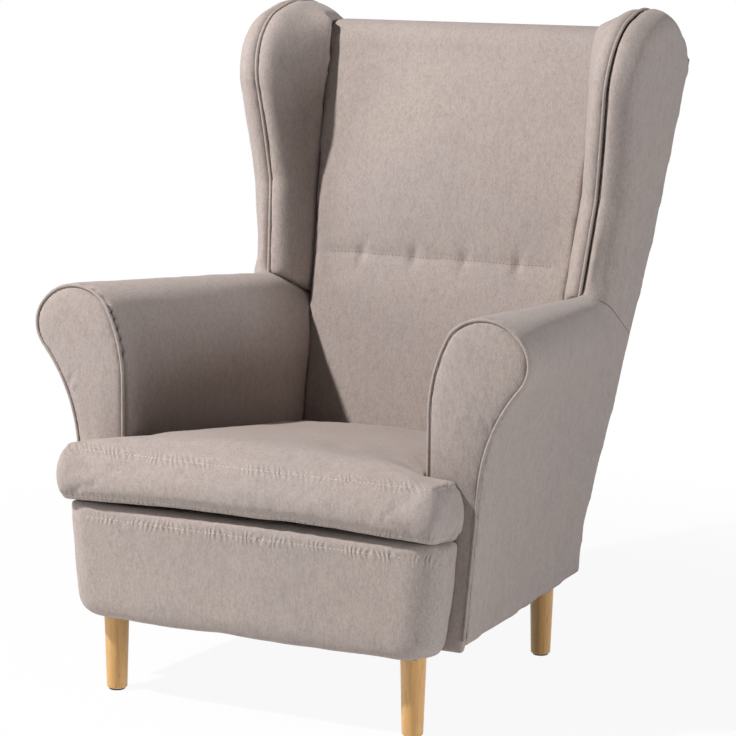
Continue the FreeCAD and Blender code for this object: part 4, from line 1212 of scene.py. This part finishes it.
class ARMCHAIR_OT_inside_back(bpy.types.Operator):
    """Inside back with its stitched channel and tucks"""

    bl_idname = "armchair.inside_back"
    bl_label = "Inside back"

    def execute(self, context):
        nodes = ["back_cover", "back_pad"]
        piece = soft_skin("inside_back", nodes + ["back_top_rail"], context.scene.armchair_padding.voxel, 4)
        mesh = piece.data
        relax(mesh, 12, smooth_step(positions(mesh)[:, 2] / MM, 915, 950))
        points = positions(mesh)
        across = points[:, 0] / MM
        over = points[:, 2] / MM - CHANNEL_HEIGHT
        front = smooth_step(ahead_of_back(points), -16, -2)
        span = 1 - smooth_step(np.abs(across), 190, 208)
        amount = -CHANNEL_DEPTH * MM * bell(over, channel_ripple(across), CHANNEL_WIDTH) * span * front
        for index, place in enumerate(TUCKS):
            sideways = (across - place - 2 * math.sin(index * 2.1)) / TUCK_WIDTH
            amount -= TUCK_DEPTH * MM * front * np.exp(-sideways ** 2 - (over / TUCK_HEIGHT) ** 2)
            for lean, reach, strength in ((-0.5, 34, 0.9), (0.45, 30, 0.8), (0.1, 42, 0.6)):
                shift = (across - place - lean * over) / 6
                amount -= strength * MM * front * np.exp(-shift ** 2 - (over / reach) ** 2)
        amount += front * (waves(points, 7, 2.0 * MM, 51) + waves(points, 22, 0.6 * MM, 53))
        push(piece, amount)
        dress(piece, replaced=nodes)
        surface = surface_of(piece)
        line = []
        for x in np.arange(-196, 196.1, 4):
            start = Vector((x, -200, CHANNEL_HEIGHT + channel_ripple(x))) * MM
            hit, _, _, _ = surface.ray_cast(start, Vector((0, 1, 0)), 0.9)
            if hit is None:
                raise RuntimeError("the channel of the back has nothing behind it")
            line.append(hit + Vector((0, 0.0002, 0)))
        # Stitches in dark thread that paints the shade of the channel.
        stitch_row("back_channel_stitches", line, "seam_shadow")
        return {"FINISHED"}


class ARMCHAIR_OT_outside_back(bpy.types.Operator):
    """Cloth panel that closes the rear, sewn in along its sides"""

    bl_idname = "armchair.outside_back"
    bl_label = "Outside back"

    rows = 90
    columns = 64
    rim = 6
    corner = 9
    inset = 2.5

    def execute(self, context):
        build = bmesh.new()
        inner, outer = self.grid(build, False), self.grid(build, True)
        for row in range(self.rows):
            for column in range(self.columns):
                for grid, order in ((inner, 1), (outer, -1)):
                    corners = [
                        grid[row][column], grid[row][column + 1], grid[row + 1][column + 1], grid[row + 1][column],
                    ]
                    build.faces.new(corners[::order])
        inside, outside = (
            grid[0] + [line[-1] for line in grid[1:-1]] + grid[-1][::-1] + [line[0] for line in grid[-2:0:-1]]
            for grid in (inner, outer)
        )
        for number in range(len(inside)):
            build.faces.new([inside[number - 1], inside[number], outside[number], outside[number - 1]])
        bmesh.ops.recalc_face_normals(build, faces=build.faces)
        piece = new_piece("outside_back", mesh_of(build, "outside_back"))
        dress(piece, replaced=["outside_back_panel"])
        return {"FINISHED"}

    def grid(self, build, outward):
        """Rows of points of one face, with round upper and lower corners and, outward, a rolled edge."""
        low, high = (corner.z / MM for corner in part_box("outside_back_panel"))
        grid = []
        for row in range(self.rows + 1):
            z = low + (high - low) * row / self.rows
            ends = min(z - low, high - z)
            short = min(max(self.corner - ends, 0), self.corner)
            wide = half_width(z) - self.inset - self.corner + math.sqrt(self.corner ** 2 - short ** 2)
            line = []
            for column in range(self.columns + 1):
                x = (2 * column / self.columns - 1) * wide
                roll = 1 - max(0.0, 1 - min(wide - abs(x), ends) / self.rim) ** 2
                wave = noise.noise(Vector((x * 0.006, z * 0.006, 3.0)))
                y = rear_edge(z) + (1 + roll * (4.6 + 1.4 * (0.5 + wave)) if outward else -1)
                line.append(build.verts.new(Vector((x, y, z)) * MM))
            grid.append(line)
        return grid


class ARMCHAIR_OT_apron(bpy.types.Operator):
    """Padded front border under the cushion, with its topstitching"""

    bl_idname = "armchair.apron"
    bl_label = "Apron"

    def execute(self, context):
        nodes = ["apron_cover", "apron_pad"]
        inside = ["seat_front_rail", "seat_side_rail_left", "seat_side_rail_right", "leg_plates"]
        piece = soft_skin("apron", nodes + inside, APRON_VOXEL, 3, APRON_REAR)
        mesh = piece.data
        points = positions(mesh)
        _, start_y, start_z = SEAT_START
        top = (start_z + DECK_TOP) * MM - (points[:, 1] - start_y * MM) * math.tan(SEAT_TILT)
        relax(mesh, 12, smooth_step(points[:, 2] - top, -0.030, -0.004) * smooth_step(-points[:, 1], 0.35, 0.41))
        points = positions(mesh)
        outward = smooth_step(-points[:, 1], 0.355, 0.39)
        low_ends = smooth_step(np.abs(points[:, 0]), 0.25, 0.29) * (1 - smooth_step(points[:, 2], 0.20, 0.26))
        amount = waves(points, 8, 1.8 * MM, 61) + waves(points, 26, 0.6 * MM, 63) + 0.8 * MM
        amount += 1.6 * MM * low_ends
        points[:, 2] += bell(points[:, 2] / MM, 127, 12) * waves(points, 15, 2.6 * MM, 66)
        under = (points[:, 2] - top) / MM
        amount -= 0.9 * MM * bell(under, -19, 4.5) * outward
        folds = np.sin(points[:, 0] / 0.0042 + 3 * np.sin(points[:, 0] * 31))
        amount += 0.35 * MM * folds * outward * bell(under, -21, 9)
        set_positions(mesh, points)
        push(piece, amount)
        dress(piece, "apron_cloth", replaced=nodes)
        line = ring_on(surface_of(piece), seat_frame, self.plan(), lambda x, y: APRON_ROW * MM, STITCH_SINK)
        if len(line) < APRON_ROW_POINTS:
            raise RuntimeError(f"the apron's stitches found {len(line)} points")
        stitch_row("apron_stitches", smooth_line(line))
        return {"FINISHED"}

    def plan(self):
        """Plan of the apron in the frame of the seat: straight front, round corners and short sides."""
        straight, round_off = 262, 30
        front = [(x * MM, -0.020) for x in np.arange(-straight, straight + 0.1, 6)]
        corner = [
            ((straight + round_off * math.sin(turn)) * MM, (10 - round_off * math.cos(turn)) * MM)
            for turn in np.linspace(0, math.pi / 2, 9)[1:]
        ]
        side = [((straight + round_off) * MM, y * MM) for y in range(16, 61, 6)]
        right = front[len(front) // 2:] + corner + side
        return [(-x, y) for x, y in right[::-1]][:-1] + right


def cushion_plan(surface):
    """Plan of the cushion at its middle height, in the frame of the seat, from its front round to its front."""
    line = []
    centre = Vector((0, 0.23, CUSHION_MIDDLE * MM))
    turned = seat_frame.to_3x3()
    for step in range(220):
        angle = 2 * math.pi * step / 220
        outward = Vector((math.sin(angle), -math.cos(angle), 0))
        start = seat_frame @ (centre + outward * 0.6)
        hit, _, _, _ = surface.ray_cast(start, -(turned @ outward), 0.9)
        if hit is not None:
            local = seat_frame.inverted() @ hit
            line.append((local.x, local.y))
    points = np.array(line)
    lengths = np.linalg.norm(np.roll(points, -1, 0) - points, axis=1)
    total = np.concatenate([[0], np.cumsum(lengths)])
    even = np.linspace(0, total[-1], 360, endpoint=False)
    closed = np.vstack([points, points[:1]])
    return np.stack([np.interp(even, total, closed[:, axis]) for axis in (0, 1)], axis=1)


class ARMCHAIR_OT_cushion(bpy.types.Operator):
    """Loose seat cushion with its two rows of topstitching"""

    bl_idname = "armchair.cushion"
    bl_label = "Seat cushion"

    def execute(self, context):
        nodes = ["cushion_cover", "cushion_core"]
        piece = soft_skin("seat_cushion", nodes, CUSHION_VOXEL, 4)
        local = in_frame(positions(piece.data), seat_frame)
        resting = 1 - smooth_step(local[:, 2], DECK_TOP + 2, DECK_TOP + 14)
        pressed = smooth_step(local[:, 1], 60, 75)
        fill_out(piece, np.clip(resting * 0.96 + 0.55 * pressed * (local[:, 2] < DECK_TOP + CUSHION_SIDE), 0, 1))
        self.shape(piece)
        self.flatten(piece.data)
        dress(piece, "cushion_cloth", body="seat_cushion", replaced=nodes)
        surface = surface_of(piece)
        plan = cushion_plan(surface)
        for name, height in (("upper", self.upper), ("lower", self.lower)):
            line = ring_on(surface, seat_frame, plan, height, STITCH_SINK)
            if len(line) < CUSHION_ROW_POINTS:
                raise RuntimeError(f"the cushion's {name} stitches found {len(line)} points")
            stitch_row(f"cushion_stitches_{name}", smooth_line(line, 3, True), "thread", "seat_cushion", True)
        return {"FINISHED"}

    def shape(self, piece):
        """Full front and ends, sides drawn in at both rows of stitches with gathers, and folds."""
        points = positions(piece.data)
        local = in_frame(points, seat_frame)
        level = local[:, 2] - DECK_TOP
        bow = CUSHION_BOW * (1 - (local[:, 0] / 300) ** 2) * (1 - smooth_step(local[:, 1], -40, 60))
        normals = directions(piece.data) @ np.array(seat_frame.to_3x3())
        upright = 1 - np.clip(np.abs(normals[:, 2]), 0, 1) ** 2
        around = np.where(np.abs(normals[:, 0]) > 0.7, local[:, 1], local[:, 0])
        swell = 1 - ((level - SWELL_MIDDLE) / SWELL_REACH) ** 2
        ends = smooth_step(np.abs(local[:, 0]), 262, 302) * (1 - smooth_step(local[:, 1], 56, 74))
        face = smooth_step(-local[:, 1], 8, 26) * (1 - ends)
        full = ends * (8 * swell - 3.5) + face * (4.5 * swell - 1.5)
        amount = upright * MM * np.where((level > 0) & (level < 100), full, 0)
        for height, lift, deep in ((UPPER_ROW, 0, 1.3), (LOWER_ROW, bow, 1.5)):
            amount -= deep * MM * bell(level, height + lift, 4.2) * upright
            pucker = np.sin(around / 4.6 + 2.2 * np.sin(around / 23) + height)
            patchy = 0.5 + 0.5 * np.sin(around / 57 + height * 0.3)
            reach = np.exp(-(np.abs(level - height - lift) / 13) ** 1.4)
            amount += 0.8 * MM * pucker * patchy * reach * upright
        amount += waves(points, 7, 2.6 * MM, 71) + waves(points, 20, 0.9 * MM, 73)
        amount += creases(points, CUSHION_FOLDS)
        push(piece, np.where(level < 3, np.minimum(amount, 0.1 * MM), amount))

    def flatten(self, mesh):
        """Keep the underside flat on the deck."""
        local = in_frame(positions(mesh), seat_frame)
        local[:, 2] = np.maximum(local[:, 2], DECK_TOP - 0.5)
        matrix = np.array(seat_frame)
        set_positions(mesh, (local * MM) @ matrix[:3, :3].T + matrix[:3, 3])

    def upper(self, x, y):
        """Height of the upper row of stitches in the frame of the seat."""
        return (DECK_TOP + UPPER_ROW) * MM

    def lower(self, x, y):
        """Height of the lower row, which bows up at the middle of the front."""
        forward = 1 - min(1, max(0, (y + 0.04) / 0.1))
        return (DECK_TOP + LOWER_ROW + 8 * (1 - (x / 0.3) ** 2) * forward) * MM


class ARMCHAIR_OT_zip(bpy.types.Operator):
    """Zip tape along the rear of the cushion, with its teeth"""

    bl_idname = "armchair.zip"
    bl_label = "Cushion zip"

    def execute(self, context):
        tape = frame["nodes"]["cushion_zip_tape"]
        piece = merged_copy("zip_strip", ["cushion_zip_tape"])
        rework(piece.data, lambda build: bmesh.ops.subdivide_edges(
            build, edges=build.edges, cuts=2, use_grid_fill=True
        ))
        bevel = piece.modifiers.new("Edge", "BEVEL")
        bevel.width = 0.0002
        bevel.segments = 2
        bake(piece)
        dress(piece, "zip_tape", "seat_cushion", ["cushion_zip_tape"])
        low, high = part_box("cushion_zip_tape")
        rear = max((seat_frame.inverted() @ vertex.co).y for vertex in tape.data.vertices)
        lines = []
        for shift, offset in ((-0.0011, 0), (0.0011, 0.0009)):
            lines.append([
                seat_frame @ Vector((x + offset, rear - STITCH_SINK, CUSHION_MIDDLE * MM + shift))
                for x in (low.x + 0.005, high.x - 0.005)
            ])
        teeth = path_piece("zip_coil", lines)
        grow(teeth, trees["teeth"], {
            "Pitch": 0.0026, "Length": 0.0013, "Width": 0.0008, "Height": 0.0026, "Material": finishes["zip_teeth"],
        })
        dress(teeth, "zip_teeth", "seat_cushion")
        return {"FINISHED"}


class ARMCHAIR_OT_deck(bpy.types.Operator):
    """Lined padding that the cushion rests on"""

    bl_idname = "armchair.deck"
    bl_label = "Seat deck"

    def execute(self, context):
        nodes = ["seat_deck_pad", "seat_deck_cover"]
        piece = soft_skin("seat_deck", nodes, DECK_VOXEL, 3)
        amount = waves(positions(piece.data), 14, 1.1 * MM, 81) - 0.6 * MM
        push(piece, np.minimum(amount, 0))
        dress(piece, "deck", replaced=nodes)
        return {"FINISHED"}


def clean_faces(build):
    """Join flat faces and cut them into plain triangles."""
    bmesh.ops.dissolve_limit(build, angle_limit=0.01, verts=build.verts, edges=build.edges)
    bmesh.ops.triangulate(build, faces=build.faces)


class ARMCHAIR_OT_underside(bpy.types.Operator):
    """Webbing, spring cloth and the cloth under the frame"""

    bl_idname = "armchair.underside"
    bl_label = "Hidden cloths"

    strap = 0.06

    def execute(self, context):
        cloths = (
            ("webbing_straps", "back_webbing", "webbing", "webbing", ["back_top_rail", "back_lower_rail"], 4),
            ("spring_cover", "spring_cloth", "deck", "lining_cloth", ["seat_springs"], 1),
            ("underside_cloth", "dust_cover", "lining", "lining_cloth", ["seat_front_rail", "seat_rear_rail"], 1),
        )
        for name, node, finish, slot, carriers, strips in cloths:
            piece = merged_copy(name, [node])
            rework(piece.data, clean_faces)
            dress(piece, finish, replaced=[node])
            for polygon in piece.data.polygons:
                polygon.use_smooth = False
        return {"FINISHED"}


class ARMCHAIR_OT_frame_finishes(bpy.types.Operator):
    """Finishes of the legs, the wooden frame and the hardware"""

    bl_idname = "armchair.frame_finishes"
    bl_label = "Frame finishes"

    def execute(self, context):
        for finish, nodes in CAD_FINISHES.items():
            for node in nodes:
                item = frame["nodes"][node]
                if not item.material_slots:
                    item.data.materials.append(finishes[finish])
                for material_slot in item.material_slots:
                    material_slot.material = finishes[finish]
        return {"FINISHED"}


def sun(name, energy, start):
    """Soft light from far away."""
    light = bpy.data.lights.new(name, "SUN")
    light.energy = energy
    light.angle = math.radians(SUN_SPREAD)
    light.color = COOL
    lamp = bpy.data.objects.new(name, light)
    lamp.rotation_euler = Vector(start).to_track_quat("Z", "Y").to_euler()
    return lamp


class ARMCHAIR_OT_stage(bpy.types.Operator):
    """Floor, lights and the camera"""

    bl_idname = "armchair.stage"
    bl_label = "Studio stage"

    def execute(self, context):
        scene = context.scene
        settings = scene.armchair_stage
        build = bmesh.new()
        bmesh.ops.create_circle(build, cap_ends=True, radius=FLOOR_RADIUS, segments=64)
        floor = new_piece("studio_floor", mesh_of(build, "studio_floor"))
        floor.data.materials.append(self.floor_material())
        self.light_world(scene, settings.fill)
        lamps = [
            self.key_light(settings.key),
            sun("side_light", settings.side, SIDE_FROM),
            sun("low_light", settings.low, LOW_FROM),
        ]
        camera = self.camera()
        for item in (*lamps, camera):
            scene.collection.objects.link(item)
        scene.camera = camera
        scene.view_settings.view_transform = "Standard"
        return {"FINISHED"}

    def key_light(self, strength):
        """Main light, as strong at the chair as a sun of this strength."""
        light = bpy.data.lights.new("key_light", "POINT")
        light.energy = strength * 4 * math.pi * KEY_DISTANCE ** 2
        light.shadow_soft_size = KEY_RADIUS
        light.color = WARM
        lamp = bpy.data.objects.new("key_light", light)
        lamp.location = Vector(KEY_FROM) * KEY_DISTANCE + Vector((0, 0, KEY_LIFT))
        return lamp

    def camera(self):
        """Camera at the photograph's place."""
        lens = bpy.data.cameras.new("studio_camera")
        lens.lens = CAMERA_LENS
        lens.sensor_width = CAMERA_SENSOR
        camera = bpy.data.objects.new("studio_camera", lens)
        camera.matrix_world = (
            Matrix.Translation(CAMERA_PLACE)
            @ Matrix.Rotation(CAMERA_YAW, 4, "Z")
            @ Matrix.Rotation(CAMERA_PITCH, 4, "X")
            @ Matrix.Rotation(CAMERA_ROLL, 4, "Z")
        )
        return camera

    def floor_material(self):
        """Pale floor that goes over into plain white away from the chair, and keeps its shadow."""
        finish = Finish("studio_floor")
        x, y, _ = finish.axes()
        far = (x * x + y * y).math("SQRT").over(*FLOOR_FADE)
        white = finish.add("ShaderNodeEmission", None, {"Color": (1, 1, 1), "Strength": 1.0})
        finish.surface(Base_Color=(0.80, 0.80, 0.80), Roughness=0.9, Specular_IOR_Level=0.1)
        share = finish.seen_directly() * (0.93 + 0.07 * far)
        mixed = finish.add("ShaderNodeMixShader", None, [share, finish.shader.outputs[0], white.outputs[0]])
        finish.feed(finish.tree.nodes["Material Output"].inputs["Surface"], mixed.outputs[0])
        return finish.material

    def light_world(self, scene, strength):
        """Soft surround that looks white to the camera."""
        world = bpy.data.worlds.new("studio_world")
        world.use_nodes = True
        scene.world = world
        nodes = Nodes(world.node_tree)
        soft = nodes.tree.nodes["Background"]
        nodes.feed(soft.inputs["Color"], (0.93, 0.96, 1.0))
        nodes.feed(soft.inputs["Strength"], strength)
        white = nodes.add("ShaderNodeBackground", None, {"Color": (1, 1, 1)})
        mixed = nodes.add("ShaderNodeMixShader", None, [nodes.seen_directly(), soft.outputs[0], white.outputs[0]])
        nodes.feed(nodes.tree.nodes["World Output"].inputs["Surface"], mixed.outputs[0])


STEPS = [
    ARMCHAIR_OT_frame_finishes,
    ARMCHAIR_OT_sides,
    ARMCHAIR_OT_arm_fronts,
    ARMCHAIR_OT_wings,
    ARMCHAIR_OT_inside_back,
    ARMCHAIR_OT_outside_back,
    ARMCHAIR_OT_apron,
    ARMCHAIR_OT_deck,
    ARMCHAIR_OT_underside,
    ARMCHAIR_OT_cushion,
    ARMCHAIR_OT_zip,
    ARMCHAIR_OT_stage,
]


class ARMCHAIR_PT_panel(bpy.types.Panel):
    """Sizes and colours of the armchair, and the steps that make it"""

    bl_idname = "ARMCHAIR_PT_panel"
    bl_label = "Wingback Armchair"
    bl_space_type = "VIEW_3D"
    bl_region_type = "UI"
    bl_category = "Armchair"

    def draw(self, context):
        for name, group in SETTINGS.items():
            box = self.layout.box()
            box.label(text=group.__doc__)
            for key in group.__annotations__:
                box.prop(getattr(context.scene, name), key)
        for step in STEPS:
            self.layout.operator(step.bl_idname)


CLASSES = [*SETTINGS.values(), *STEPS, ARMCHAIR_PT_panel]


def register():
    """Register the classes and hang the settings on the scene."""
    for item in CLASSES:
        bpy.utils.register_class(item)
    for name, group in SETTINGS.items():
        setattr(bpy.types.Scene, name, PointerProperty(type=group))


def unregister():
    """Undo register."""
    for name in SETTINGS:
        delattr(bpy.types.Scene, name)
    for item in reversed(CLASSES):
        bpy.utils.unregister_class(item)


def clear_start_scene():
    """Remove what a new Blender file holds."""
    kept = set(frame["nodes"].values()) | set(frame["bodies"].values())
    for item in list(bpy.data.objects):
        if item not in kept:
            bpy.data.objects.remove(item)


def main():
    """Register and make every piece."""
    register()
    clear_start_scene()
    make_finishes()
    make_trees()
    for step in STEPS:
        module, name = step.bl_idname.split(".")
        getattr(getattr(bpy.ops, module), name)()


if __name__ == "__main__":
    main()
